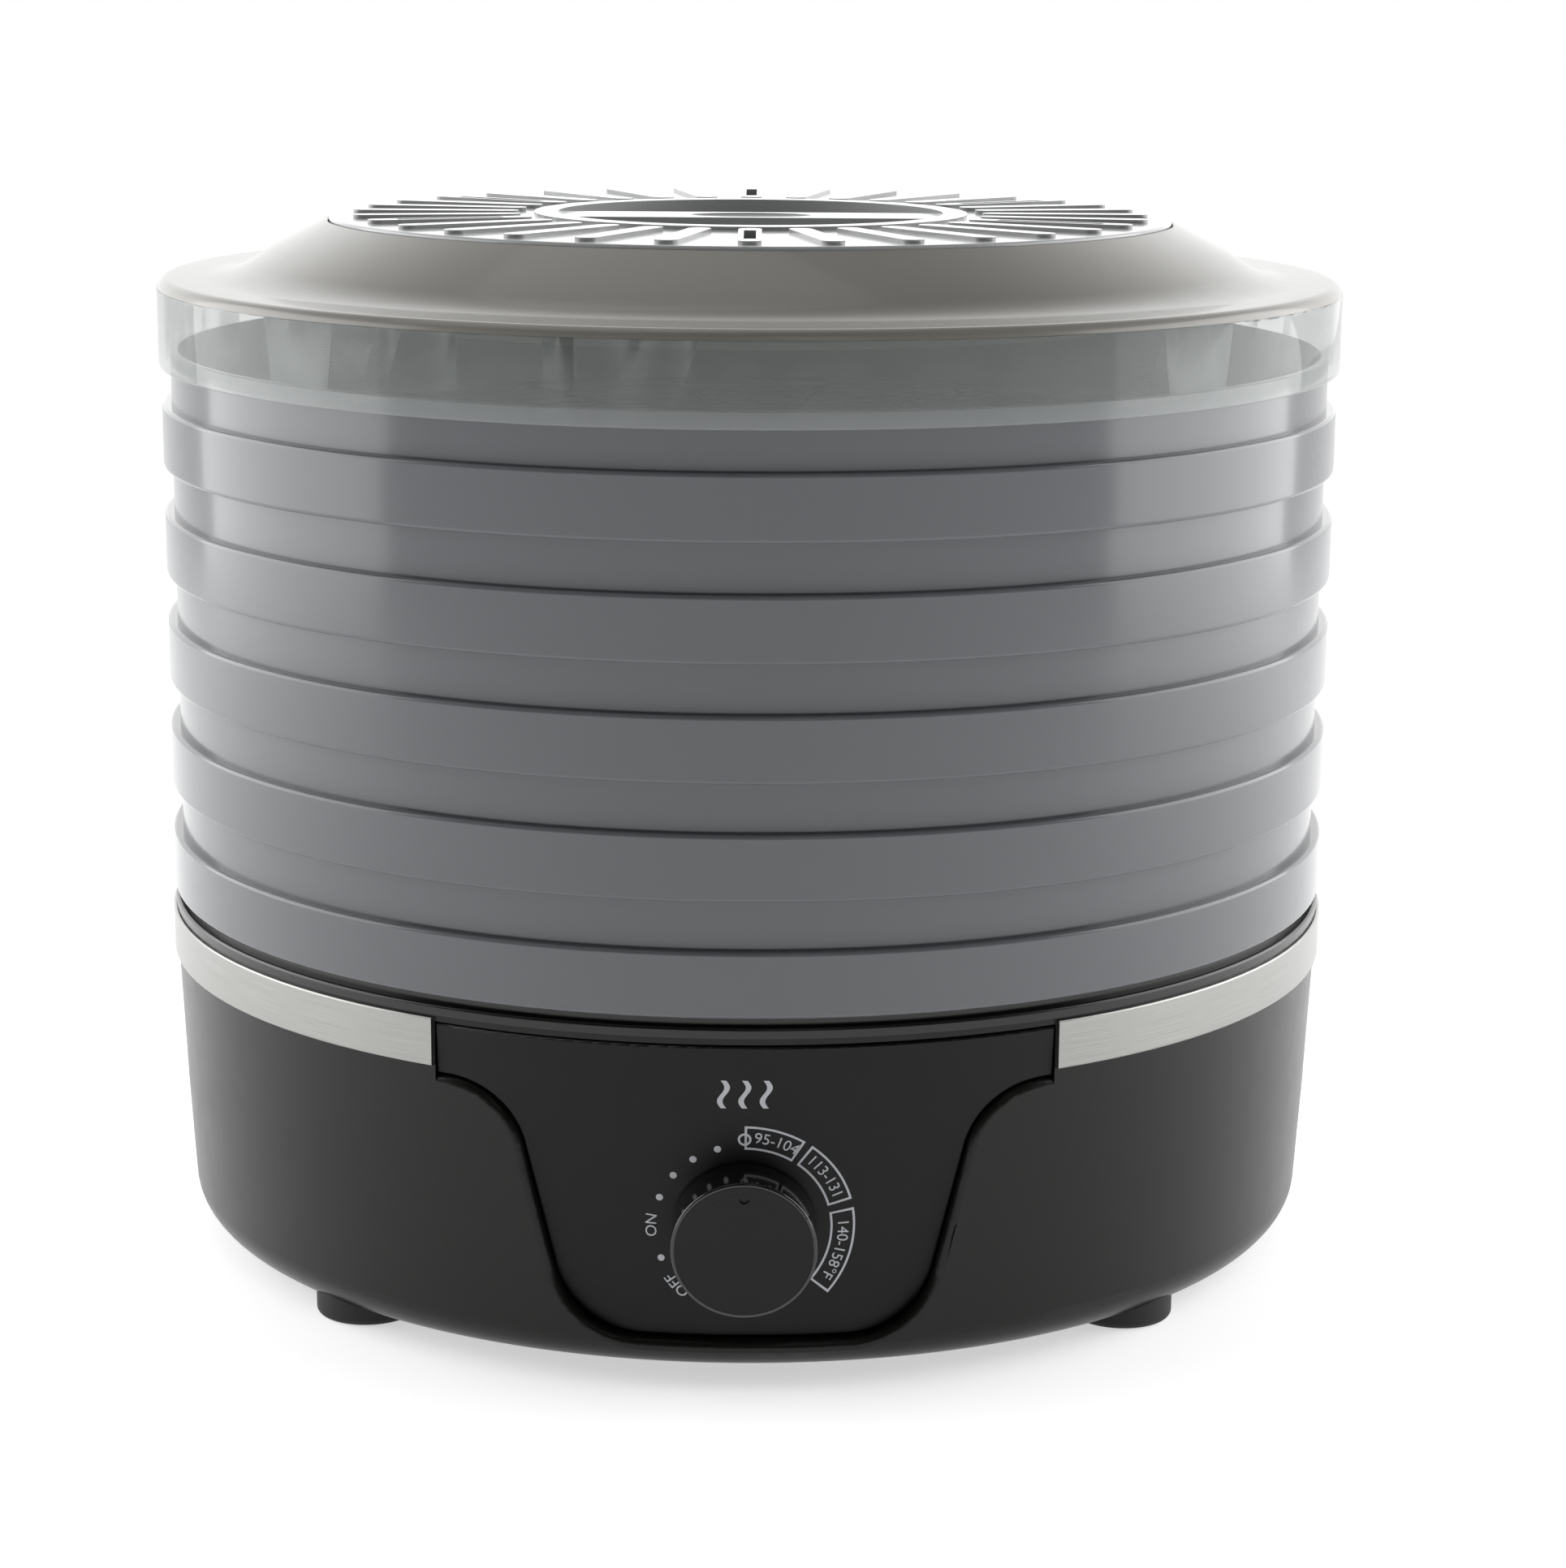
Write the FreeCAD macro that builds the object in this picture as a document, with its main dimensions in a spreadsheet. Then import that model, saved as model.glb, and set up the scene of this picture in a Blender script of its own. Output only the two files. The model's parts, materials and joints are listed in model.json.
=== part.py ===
"""Stacking food dehydrator: fan-heater base, five nesting trays and a vented lid.

Millimetres.  The origin is on the ground at the middle of the base, +Z is up and the
control knob faces -Y.  Every driving size is a cell of the "Sizes" sheet; each piece is
bound to those cells by expressions.
"""
import FreeCAD, Part
import Sketcher
import math
import os

doc = FreeCAD.newDocument("food_dehydrator")
sheet = doc.addObject("Spreadsheet::Sheet", "Sizes")


# ---------------------------------------------------------------- sizes and expressions

class Size:
    """A dimension that keeps its present number and the expression that gives it."""

    def __init__(self, number, text):
        self.number = number
        self.text = text

    def __add__(self, other):
        other = as_size(other)
        return Size(self.number + other.number, f"({self.text} + {other.text})")

    def __radd__(self, other):
        return as_size(other) + self

    def __sub__(self, other):
        other = as_size(other)
        return Size(self.number - other.number, f"({self.text} - {other.text})")

    def __rsub__(self, other):
        return as_size(other) - self

    def __mul__(self, other):
        other = as_size(other)
        return Size(self.number * other.number, f"({self.text} * {other.text})")

    def __rmul__(self, other):
        return as_size(other) * self

    def __truediv__(self, other):
        other = as_size(other)
        return Size(self.number / other.number, f"({self.text} / {other.text})")

    def __neg__(self):
        return Size(-self.number, f"(0 - {self.text})")


def as_size(value):
    """Give plain numbers the same form as sheet sizes."""
    if isinstance(value, Size):
        return value
    return Size(float(value), str(value))


def sine(angle):
    return Size(math.sin(math.radians(angle.number)), f"sin({angle.text})")


def cosine(angle):
    return Size(math.cos(math.radians(angle.number)), f"cos({angle.text})")


def tangent(angle):
    return Size(math.tan(math.radians(angle.number)), f"tan({angle.text})")


class Sizes:
    """Writes each driving size into the sheet and hands it back by name."""

    def __init__(self):
        self.row = 0

    def add(self, name, number):
        self.row += 1
        sheet.set(f"A{self.row}", str(number))
        sheet.setAlias(f"A{self.row}", name)
        setattr(self, name, Size(float(number), f"Sizes.{name}"))


s = Sizes()

# Trays
s.add("trayRadius", 145.0)          # outside of the skirt
s.add("trayPitch", 26.3)            # height that each tray adds to the stack
s.add("traySkirtWall", 1.95)
s.add("traySkirtHeight", 15.1)
s.add("trayNeckGap", 0.35)          # radial play between a neck and the skirt round it
s.add("trayNeckWall", 1.8)
s.add("traySeatDepth", 1.8)         # how far a rim reaches up into the skirt above
s.add("trayFloor", 2.2)
s.add("trayShoulder", 2.0)          # thickness where the skirt steps in to the neck
s.add("trayEdgeRound", 0.9)
s.add("trayWebSides", 20)           # spokes of the floor
s.add("trayRowPitch", 10.4)
s.add("trayRib", 2.2)
s.add("trayHubRadius", 20.0)
s.add("trayHubHole", 12.0)

# Base shell
s.add("baseLift", 4.0)              # ground clearance under the shell
s.add("shellWall", 2.4)
s.add("shellTop", 83.6)
s.add("shellFootInset", 3.9)
s.add("shellWaistInset", 1.9)
s.add("shellWaistHeight", 38.0)
s.add("shellShoulderInset", 0.4)
s.add("shellShoulderHeight", 71.0)
s.add("shellCornerRound", 9.5)
s.add("inletSlots", 24)
s.add("inletSlotWidth", 3.2)
s.add("inletInner", 16.0)
s.add("inletOuter", 44.0)

# Deck
s.add("deckLipInset", 0.1)          # flange edge, from the tray skirt radius
s.add("deckFlange", 2.4)
s.add("deckRimGap", 2.0)            # from the flange up to the lowest tray's skirt
s.add("deckFloor", 2.4)
s.add("deckFloorDrop", 0.1)
s.add("deckSpigot", 5.6)
s.add("deckSpigotGap", 0.2)
s.add("outletStep", 2.0)             # outlet, beyond the bore of the fan duct
s.add("outletLedge", 2.5)
s.add("outletWall", 8.0)
s.add("outletCollar", 3.5)
s.add("grilleThick", 2.4)
s.add("grilleGap", 0.2)
s.add("grilleSides", 16)
s.add("grilleRowPitch", 9.0)
s.add("grilleRib", 2.4)
s.add("grilleHub", 12.0)

# Trim band
s.add("bandBottom", 71.8)
s.add("bandHeight", 11.3)
s.add("bandThick", 1.0)
s.add("bandGapAngle", 28.9)         # half of the opening at the front
s.add("bandRound", 0.45)

# Control panel
s.add("panelHalfWidth", 69.2)
s.add("panelTop", 81.8)
s.add("panelShoulder", 70.0)
s.add("panelFoot", 11.9)
s.add("panelOgeeRound", 18.0)
s.add("panelOgeeAcross", 66.7)
s.add("panelCornerRound", 20.0)
s.add("panelCornerAcross", 23.0)
s.add("panelTilt", 6.0)
s.add("panelThick", 2.2)
s.add("panelGap", 0.35)
s.add("panelBacking", 2.2)
s.add("panelFrontRound", 0.5)
s.add("recessRound", 1.8)

# Knob and thermostat, along the dial axis
s.add("dialHeight", 38.3)
s.add("knobRadius", 16.3)
s.add("knobReach", 11.6)
s.add("knobGap", 0.9)
s.add("knobWall", 2.0)
s.add("knobTopWall", 2.6)
s.add("knobHubRadius", 5.5)
s.add("knobRound", 0.6)
s.add("knobSocketTop", 8.2)
s.add("knobHubFoot", 1.8)
s.add("capInset", 0.9)               # polished face, in from the side of the knob
s.add("capThick", 0.8)
s.add("capGap", 0.1)
s.add("dimpleRadius", 1.2)
s.add("dimpleInset", 2.8)            # pointer dimple, in from the edge of the face
s.add("dimpleDepth", 0.5)
s.add("shaftRadius", 3.0)
s.add("shaftPlay", 0.05)
s.add("shaftEndGap", 0.5)            # bottom of the socket, below the shaft
s.add("bushRadius", 4.6)
s.add("bushHoleGap", 0.2)
s.add("nutFlats", 13.0)
s.add("nutThick", 2.2)
s.add("panelHoleRadius", 8.6)
s.add("thermostatWidth", 30.0)
s.add("thermostatHeight", 26.0)
s.add("thermostatDepth", 20.0)
s.add("thermostatSet", 5.6)         # front face, behind the panel's surface
s.add("thermostatBore", 7.0)
s.add("bushReach", 1.2)

# Feet and posts
s.add("footInset", 18.5)            # foot circle, in from the tray radius
s.add("footRadius", 12.3)
s.add("footRound", 1.6)
s.add("footRise", 3.5)              # side of the foot, above the underside of the shell
s.add("footCounterbore", 4.4)
s.add("footCounterboreDepth", 2.4)
s.add("footScrewRadius", 1.7)
s.add("footScrewLength", 9.0)
s.add("footBossRadius", 4.5)
s.add("footBossHeight", 8.0)
s.add("screwPlay", 0.1)
s.add("screwEndGap", 0.5)            # hole, beyond the tip of its screw
s.add("screwWellGap", 0.4)           # well, round the head of its screw
s.add("screwHeadRadius", 3.6)
s.add("screwHeadThick", 1.8)
s.add("postInset", 33.0)
s.add("postAngle", 30.0)
s.add("postRadius", 5.2)
s.add("postTop", 60.0)
s.add("postFloor", 10.0)            # plastic above the screw head
s.add("deckScrewLength", 20.0)
s.add("deckScrewHole", 12.0)

# Fan, motor and heater
s.add("axleRadius", 1.5)
s.add("axlePlay", 0.05)
s.add("stackWidth", 62.0)
s.add("stackDepth", 48.0)
s.add("stackBottom", 26.0)
s.add("stackHeight", 16.0)
s.add("rotorRadius", 12.0)
s.add("rotorGap", 0.4)
s.add("strapThick", 2.0)
s.add("strapWidth", 12.0)
s.add("strapStand", 4.0)
s.add("strapBush", 5.0)
s.add("motorScrewAcross", 22.0)
s.add("motorScrewRadius", 1.9)
s.add("motorPostAcross", 36.0)
s.add("stackBack", 36.0)            # rear face of the limb that carries the winding
s.add("limbDepth", 10.0)
s.add("windowDepth", 11.0)
s.add("windingWidth", 26.0)
s.add("windingThick", 5.5)
s.add("windingBack", 8.5)
s.add("windingGap", 0.3)
s.add("motorPostRadius", 5.0)
s.add("fanRadius", 44.0)
s.add("fanHubRadius", 9.0)
s.add("fanBottom", 50.5)
s.add("fanHeight", 12.0)
s.add("fanBlades", 5)
s.add("fanBladeThick", 1.6)
s.add("fanRootPitch", 38.0)
s.add("fanTipPitch", 24.0)
s.add("fanRootChord", 15.0)
s.add("fanTipChord", 25.0)
s.add("fanTipGap", 4.0)              # blade tips to the duct
s.add("ductWall", 1.5)
s.add("ductBottom", 49.0)
s.add("ductFlangeWidth", 8.5)
s.add("ductFlangeThick", 2.0)
s.add("ductScrewInset", 4.0)         # screws, in from the edge of the flange
s.add("ductScrewLength", 6.0)
s.add("ductLedge", 3.0)
s.add("boardThick", 1.2)
s.add("boardHeight", 11.0)
s.add("boardBottom", 66.0)
s.add("boardGap", 0.4)
s.add("coilInner", 22.0)
s.add("coilOuter", 36.0)
s.add("coilThick", 2.2)
s.add("coilHoleGap", 0.3)
s.add("fuseRadius", 1.8)
s.add("fuseLength", 12.0)

# Mains entry
s.add("glandHeight", 26.0)
s.add("glandBore", 3.5)
s.add("glandRadius", 6.0)
s.add("glandFlange", 8.5)
s.add("glandFlangeThick", 2.5)
s.add("glandLength", 14.0)
s.add("terminalWidth", 32.0)
s.add("terminalDepth", 14.0)
s.add("terminalHeight", 12.0)
s.add("terminalAcross", 38.0)
s.add("terminalBack", 70.0)
s.add("terminalPitch", 10.0)

# Lid
s.add("lidProud", 0.6)              # skirt, beyond the tray radius
s.add("lidWall", 1.8)
s.add("lidOverlap", 3.8)            # skirt below the top tray's rim
s.add("lidSkirtHeight", 21.3)
s.add("lidShoulderRound", 3.0)
s.add("domeLandInset", 17.0)        # flat land at the foot of the slope
s.add("domeLandRound", 24.0)
s.add("domeKneeInset", 27.6)
s.add("domeKneeRise", 6.7)
s.add("domeRise", 13.4)
s.add("plateRadius", 103.6)
s.add("plateGap", 0.3)
s.add("plateThick", 2.6)
s.add("plateLedge", 8.0)
s.add("plateEdgeRound", 0.7)
s.add("wellRadius", 47.5)
s.add("wellDepth", 19.0)
s.add("wellWall", 1.8)
s.add("wellRing", 6.0)
s.add("wellRingRise", 0.8)
s.add("gripWidth", 20.0)
s.add("gripWall", 1.8)
s.add("gripDimpleLength", 30.0)
s.add("gripDimpleWidth", 15.0)
s.add("gripDimpleDepth", 1.4)
s.add("padCount", 32)
s.add("padInner", 60.0)
s.add("padOuter", 95.5)
s.add("padWidth", 5.4)
s.add("padRise", 0.8)
s.add("ventInner", 64.5)
s.add("ventOuter", 91.0)
s.add("ventWidth", 2.8)
s.add("tabWidth", 23.0)
s.add("tabFoot", 18.0)
s.add("tabThick", 1.6)
s.add("tabGusset", 5.6)
s.add("tabGap", 0.3)
s.add("tabGussetDepth", 5.0)
s.add("tabGussetHeight", 6.5)
s.add("tabGussetThick", 1.2)
doc.recompute()

TRAY_COUNT = 5
QUARTERS = 4
LID_TABS = 4
TAB_START = 45                      # degrees from the front to the first tab
DUCT_SCREWS = 3
DUCT_SCREW_START = 90               # degrees from +X
FOOT_START = 45
GRILLE_ROWS = 4
TOLERANCE = 1e-3
ON_SURFACE = 0.01                   # furthest that a point on a surface may lie from it
REACH = 400                         # length of cutters that must pass right through
WALL_REACH = 40                     # length of cutters that pass through one wall
PROUD_REACH = 20                    # how far cutters for the recess reach out of the panel
REAR_START = 100                    # where the cutter for the mains gland begins, behind the axis


# ---------------------------------------------------------------- modelling helpers

def bind(feature, **sizes):
    """Set properties from sizes and keep them bound to the sheet."""
    for name, size in sizes.items():
        size = as_size(size)
        number = size.number
        if isinstance(getattr(feature, name), int):
            number = int(round(number))
        setattr(feature, name, number)
        feature.setExpression(name, size.text)


def place(feature, x=0, y=0, z=0):
    """Move a feature to bound coordinates."""
    where = [as_size(value) for value in (x, y, z)]
    feature.Placement.Base = FreeCAD.Vector(*[value.number for value in where])
    for axis, value in zip("xyz", where):
        feature.setExpression(f"Placement.Base.{axis}", value.text)


def new_body(name):
    body = doc.addObject("PartDesign::Body", name)
    body.Label = name
    return body


def origin_plane(body, role):
    return [item for item in body.Origin.OriginFeatures if item.Role == role][0]


def sketch_on(body, role, name, offset=None):
    """Start a sketch on one of the body's own origin planes."""
    sketch = body.newObject("Sketcher::SketchObject", name)
    sketch.AttachmentSupport = [(origin_plane(body, role), "")]
    sketch.MapMode = "FlatFace"
    if offset is not None:
        offset = as_size(offset)
        sketch.AttachmentOffset = FreeCAD.Placement(
            FreeCAD.Vector(0, 0, offset.number), FreeCAD.Rotation())
        sketch.setExpression("AttachmentOffset.Base.z", offset.text)
    return sketch


def constrain(sketch, kind, geometry, size):
    """Add a dimension whose value follows the sheet."""
    size = as_size(size)
    index = sketch.addConstraint(Sketcher.Constraint(kind, *geometry, size.number))
    sketch.setExpression(f"Constraints[{index}]", size.text)


def tie_point(sketch, geometry, end, corner):
    """Fix one point of the sketch at bound coordinates."""
    for kind, axis, size in (("DistanceX", -2, corner[0]), ("DistanceY", -1, corner[1])):
        size = as_size(size)
        if abs(size.number) < TOLERANCE:
            sketch.addConstraint(Sketcher.Constraint("PointOnObject", geometry, end, axis))
        elif size.number > 0:
            constrain(sketch, kind, (-1, 1, geometry, end), size)
        else:
            constrain(sketch, kind, (geometry, end, -1, 1), -size)


def draw_outline(sketch, corners):
    """Draw a closed outline of straight edges with every corner tied to the sheet."""
    points = [FreeCAD.Vector(as_size(x).number, as_size(y).number, 0) for x, y in corners]
    first = sketch.GeometryCount
    count = len(points)
    edges = [Part.LineSegment(points[i], points[(i + 1) % count]) for i in range(count)]
    sketch.addGeometry(edges, False)
    joins = [Sketcher.Constraint("Coincident", first + i, 2, first + (i + 1) % count, 1)
             for i in range(count)]
    sketch.addConstraint(joins)
    for i, corner in enumerate(corners):
        tie_point(sketch, first + i, 1, corner)


def draw_box(sketch, left, right, low, high):
    draw_outline(sketch, [(left, low), (right, low), (right, high), (left, high)])


def draw_circle(sketch, radius, x=0, y=0):
    radius = as_size(radius)
    x = as_size(x)
    y = as_size(y)
    middle = FreeCAD.Vector(x.number, y.number, 0)
    circle = Part.Circle(middle, FreeCAD.Vector(0, 0, 1), radius.number)
    index = sketch.addGeometry(circle, False)
    constrain(sketch, "Radius", (index,), radius)
    tie_point(sketch, index, 3, (x, y))


def revolve(body, corners, name="turned", role="XZ_Plane"):
    """Turn an outline of (radius, height) corners about the body's upright axis."""
    sketch = sketch_on(body, role, name + "_outline")
    draw_outline(sketch, corners)
    turned = body.newObject("PartDesign::Revolution", name)
    turned.Profile = sketch
    turned.ReferenceAxis = (sketch, ["V_Axis"])
    turned.Angle = 360
    doc.recompute()
    return turned


def pad(body, sketch, length, name, reverse=False):
    sketch.recompute()
    feature = body.newObject("PartDesign::Pad", name)
    feature.Profile = sketch
    feature.Reversed = reverse
    bind(feature, Length=length)
    return feature


def pocket(body, sketch, length, name, reverse=False):
    sketch.recompute()
    feature = body.newObject("PartDesign::Pocket", name)
    feature.Profile = sketch
    feature.Reversed = reverse
    bind(feature, Length=length)
    return feature


def repeat_around(body, features, count, name):
    """Repeat features evenly about the body's upright axis."""
    pattern = body.newObject("PartDesign::PolarPattern", name)
    pattern.Originals = features
    pattern.Axis = (origin_plane(body, "Z_Axis"), [""])
    pattern.Angle = 360
    bind(pattern, Occurrences=count)
    body.Tip = pattern
    return pattern


def ring_edges(shape, rings):
    """Name the circular edges that lie at the given (radius, height) pairs."""
    names = []
    for index, edge in enumerate(shape.Edges):
        curve = edge.Curve
        if not isinstance(curve, Part.Circle):
            continue
        for radius, height in rings:
            same_radius = abs(curve.Radius - as_size(radius).number) < TOLERANCE
            if same_radius and abs(curve.Center.z - as_size(height).number) < TOLERANCE:
                names.append(f"Edge{index + 1}")
    return names


def round_rings(body, rings, radius, name):
    """Round circular edges of the body's present shape."""
    doc.recompute()
    base = body.Tip
    names = ring_edges(base.Shape, rings)
    if len(names) < len(rings):
        raise RuntimeError(f"{body.Label}: {name} found {len(names)} of {len(rings)} edges")
    feature = body.newObject("PartDesign::Fillet", name)
    feature.Base = (base, names)
    bind(feature, Radius=radius)
    doc.recompute()
    return feature


def boolean(kind, name, pieces):
    """Join, cut or intersect whole pieces; the first piece is the one kept in a cut."""
    if kind == "Part::Cut":
        result = doc.addObject(kind, name)
        result.Base = pieces[0]
        result.Tool = pieces[1]
    else:
        result = doc.addObject(kind, name)
        result.Shapes = pieces
    result.Label = name
    doc.recompute()
    return result


def cut_all(name, base, tools):
    """Cut several tools from one piece."""
    cutters = boolean("Part::MultiFuse", name + "_cutters", tools) if len(tools) > 1 else tools[0]
    return boolean("Part::Cut", name, [base, cutters])


def cylinder(name, radius, height, x=0, y=0, z=0):
    tube = doc.addObject("Part::Cylinder", name)
    bind(tube, Radius=radius, Height=height)
    place(tube, x, y, z)
    return tube


def block(name, length, width, height, x=0, y=0, z=0):
    """A box centred on x and y that stands on z."""
    length = as_size(length)
    width = as_size(width)
    solid = doc.addObject("Part::Box", name)
    bind(solid, Length=length, Width=width, Height=height)
    place(solid, x - length / 2, y - width / 2, z)
    return solid


def web_pocket(body, sides, inner, pitch, rows, rib, depth, height):
    """Cut rows of openings between straight ribs, like a spider's web."""
    sketch = sketch_on(body, "XY_Plane", "web_outline", height)
    half = as_size(180) / sides
    for row in range(rows):
        near = inner + pitch * row
        far = near + pitch - rib
        near_half = near * tangent(half) - rib / 2 / cosine(half)
        far_half = far * tangent(half) - rib / 2 / cosine(half)
        draw_outline(sketch, [(near, -near_half), (far, -far_half), (far, far_half), (near, near_half)])
    openings = pocket(body, sketch, depth, "web_openings")
    repeat_around(body, [openings], sides, "web")


# ---------------------------------------------------------------- shared places

skirt_inner = s.trayRadius - s.traySkirtWall
neck_outer = skirt_inner - s.trayNeckGap
neck_inner = neck_outer - s.trayNeckWall
rim_height = s.trayPitch + s.traySeatDepth
deck_top = s.shellTop + s.deckFlange
stack_bottom = deck_top + s.deckRimGap
stack_top = stack_bottom + s.trayPitch * (TRAY_COUNT - 1) + rim_height
deck_floor_top = s.shellTop - s.deckFloorDrop
deck_underside = deck_floor_top - s.deckFloor
shell_floor = s.baseLift + s.shellWall
shell_radius = s.trayRadius - s.shellShoulderInset
foot_circle = s.trayRadius - s.footInset
post_circle = s.trayRadius - s.postInset
dial_radius = s.trayRadius - (s.panelTop - s.dialHeight) * tangent(s.panelTilt)
screw_hole = s.footScrewRadius + s.screwPlay
duct_radius = s.fanRadius + s.fanTipGap
duct_flange = duct_radius + s.ductWall + s.ductFlangeWidth
duct_screw_circle = duct_flange - s.ductScrewInset
outlet_radius = duct_radius + s.outletStep
cap_radius = s.knobRadius - s.capInset
lid_radius = s.trayRadius + s.lidProud
lid_bottom = stack_top - s.lidOverlap
lid_land = lid_bottom + s.lidSkirtHeight
plate_bottom = lid_land + s.domeRise - s.plateThick + s.padRise
plate_top = plate_bottom + s.plateThick

finished = []                       # every piece that is written out


def keep(piece):
    finished.append(piece)
    return piece


def around(circle, start, count=QUARTERS):
    """Bound (x, y) spots spaced evenly on a circle."""
    spots = []
    for step in range(count):
        angle = as_size(start) + as_size(360) * step / as_size(count)
        spots.append((circle * cosine(angle), circle * sine(angle)))
    return spots


def screw_set(name, spots, seat, length, head_below=True):
    """Round-headed screws whose heads bear on the plane at height seat."""
    head_foot = seat - s.screwHeadThick if head_below else seat
    shank_foot = seat if head_below else seat - length
    pieces = []
    for number, (x, y) in enumerate(spots):
        pieces.append(cylinder(f"{name}_head_{number}", s.screwHeadRadius, s.screwHeadThick,
                               x, y, head_foot))
        pieces.append(cylinder(f"{name}_shank_{number}", s.footScrewRadius, length, x, y, shank_foot))
    return keep(boolean("Part::MultiFuse", name, pieces))


def set_on_dial(feature):
    """Put a piece on the dial axis: local +Z leaves the panel, local +Y is its top."""
    turn = FreeCAD.Rotation(FreeCAD.Vector(1, 0, 0), 90 + s.panelTilt.number)
    feature.Placement = FreeCAD.Placement(FreeCAD.Vector(0, 0, 0), turn)
    feature.setExpression("Placement.Rotation.Angle", f"90 + {s.panelTilt.text}")
    place(feature, 0, -dial_radius, s.dialHeight)


# ---------------------------------------------------------------- base shell

def shell_outline(inset):
    """Outer side of the shell from the ground plane up, moved in by inset."""
    return [
        (s.trayRadius - s.shellFootInset - inset, s.baseLift + inset),
        (s.trayRadius - s.shellWaistInset - inset, s.shellWaistHeight),
        (shell_radius - inset, s.shellShoulderHeight),
        (shell_radius - inset, s.shellTop),
    ]


def round_shell(body, inset):
    corner = shell_outline(inset)[0]
    round_rings(body, [corner], s.shellCornerRound - inset, "corner_round")


def make_envelope():
    """The shell's outside as one filled solid, for fitting other pieces to it."""
    body = new_body("shell_envelope")
    corners = [(as_size(0), s.baseLift)] + shell_outline(as_size(0)) + [(as_size(0), s.shellTop)]
    revolve(body, corners)
    round_shell(body, as_size(0))
    return body


def make_bowl():
    """Hollow bowl with inlet slots, screw posts and foot bosses."""
    body = new_body("bowl")
    outer = shell_outline(as_size(0))
    inner = shell_outline(s.shellWall)
    corners = [(as_size(0), s.baseLift)] + outer + inner[::-1] + [(as_size(0), shell_floor)]
    revolve(body, corners)
    round_shell(body, as_size(0))
    round_shell(body, s.shellWall)

    slots = sketch_on(body, "XY_Plane", "inlet_outline", s.baseLift)
    draw_box(slots, s.inletInner, s.inletOuter, -s.inletSlotWidth / 2, s.inletSlotWidth / 2)
    inlet = pocket(body, slots, s.shellWall, "inlet_slot", reverse=True)
    repeat_around(body, [inlet], s.inletSlots, "inlet")

    posts = sketch_on(body, "XY_Plane", "post_outline", s.baseLift)
    for x, y in around(post_circle, s.postAngle):
        draw_circle(posts, s.postRadius, x, y)
    pad(body, posts, s.postTop - s.baseLift, "posts")
    bosses = sketch_on(body, "XY_Plane", "boss_outline", s.baseLift)
    for x, y in around(foot_circle, FOOT_START):
        draw_circle(bosses, s.footBossRadius, x, y)
    pad(body, bosses, s.shellWall + s.footBossHeight, "foot_bosses")
    motor_posts = sketch_on(body, "XY_Plane", "motor_post_outline", s.baseLift)
    for x in (-s.motorPostAcross, s.motorPostAcross):
        draw_circle(motor_posts, s.motorPostRadius, x, 0)
    strap_bottom = s.stackBottom - s.strapStand - s.strapThick
    pad(body, motor_posts, strap_bottom - s.baseLift, "motor_posts")

    wells = sketch_on(body, "XY_Plane", "post_well_outline", s.baseLift)
    for x, y in around(post_circle, s.postAngle):
        draw_circle(wells, s.screwHeadRadius + s.screwWellGap, x, y)
    pocket(body, wells, s.postTop - s.postFloor - s.baseLift, "post_wells", reverse=True)
    holes = sketch_on(body, "XY_Plane", "post_hole_outline", s.baseLift)
    for x, y in around(post_circle, s.postAngle):
        draw_circle(holes, screw_hole, x, y)
    pocket(body, holes, s.postTop - s.baseLift, "post_holes", reverse=True)
    foot_holes = sketch_on(body, "XY_Plane", "foot_hole_outline", s.baseLift)
    for x, y in around(foot_circle, FOOT_START):
        draw_circle(foot_holes, screw_hole, x, y)
    pocket(body, foot_holes, s.shellWall + s.footBossHeight - s.shellWall / 2, "foot_holes", reverse=True)
    motor_holes = sketch_on(body, "XY_Plane", "motor_hole_outline", strap_bottom)
    for x in (-s.motorPostAcross, s.motorPostAcross):
        draw_circle(motor_holes, screw_hole, x, 0)
    pocket(body, motor_holes, s.footScrewLength, "motor_holes")
    doc.recompute()
    return body


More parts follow.
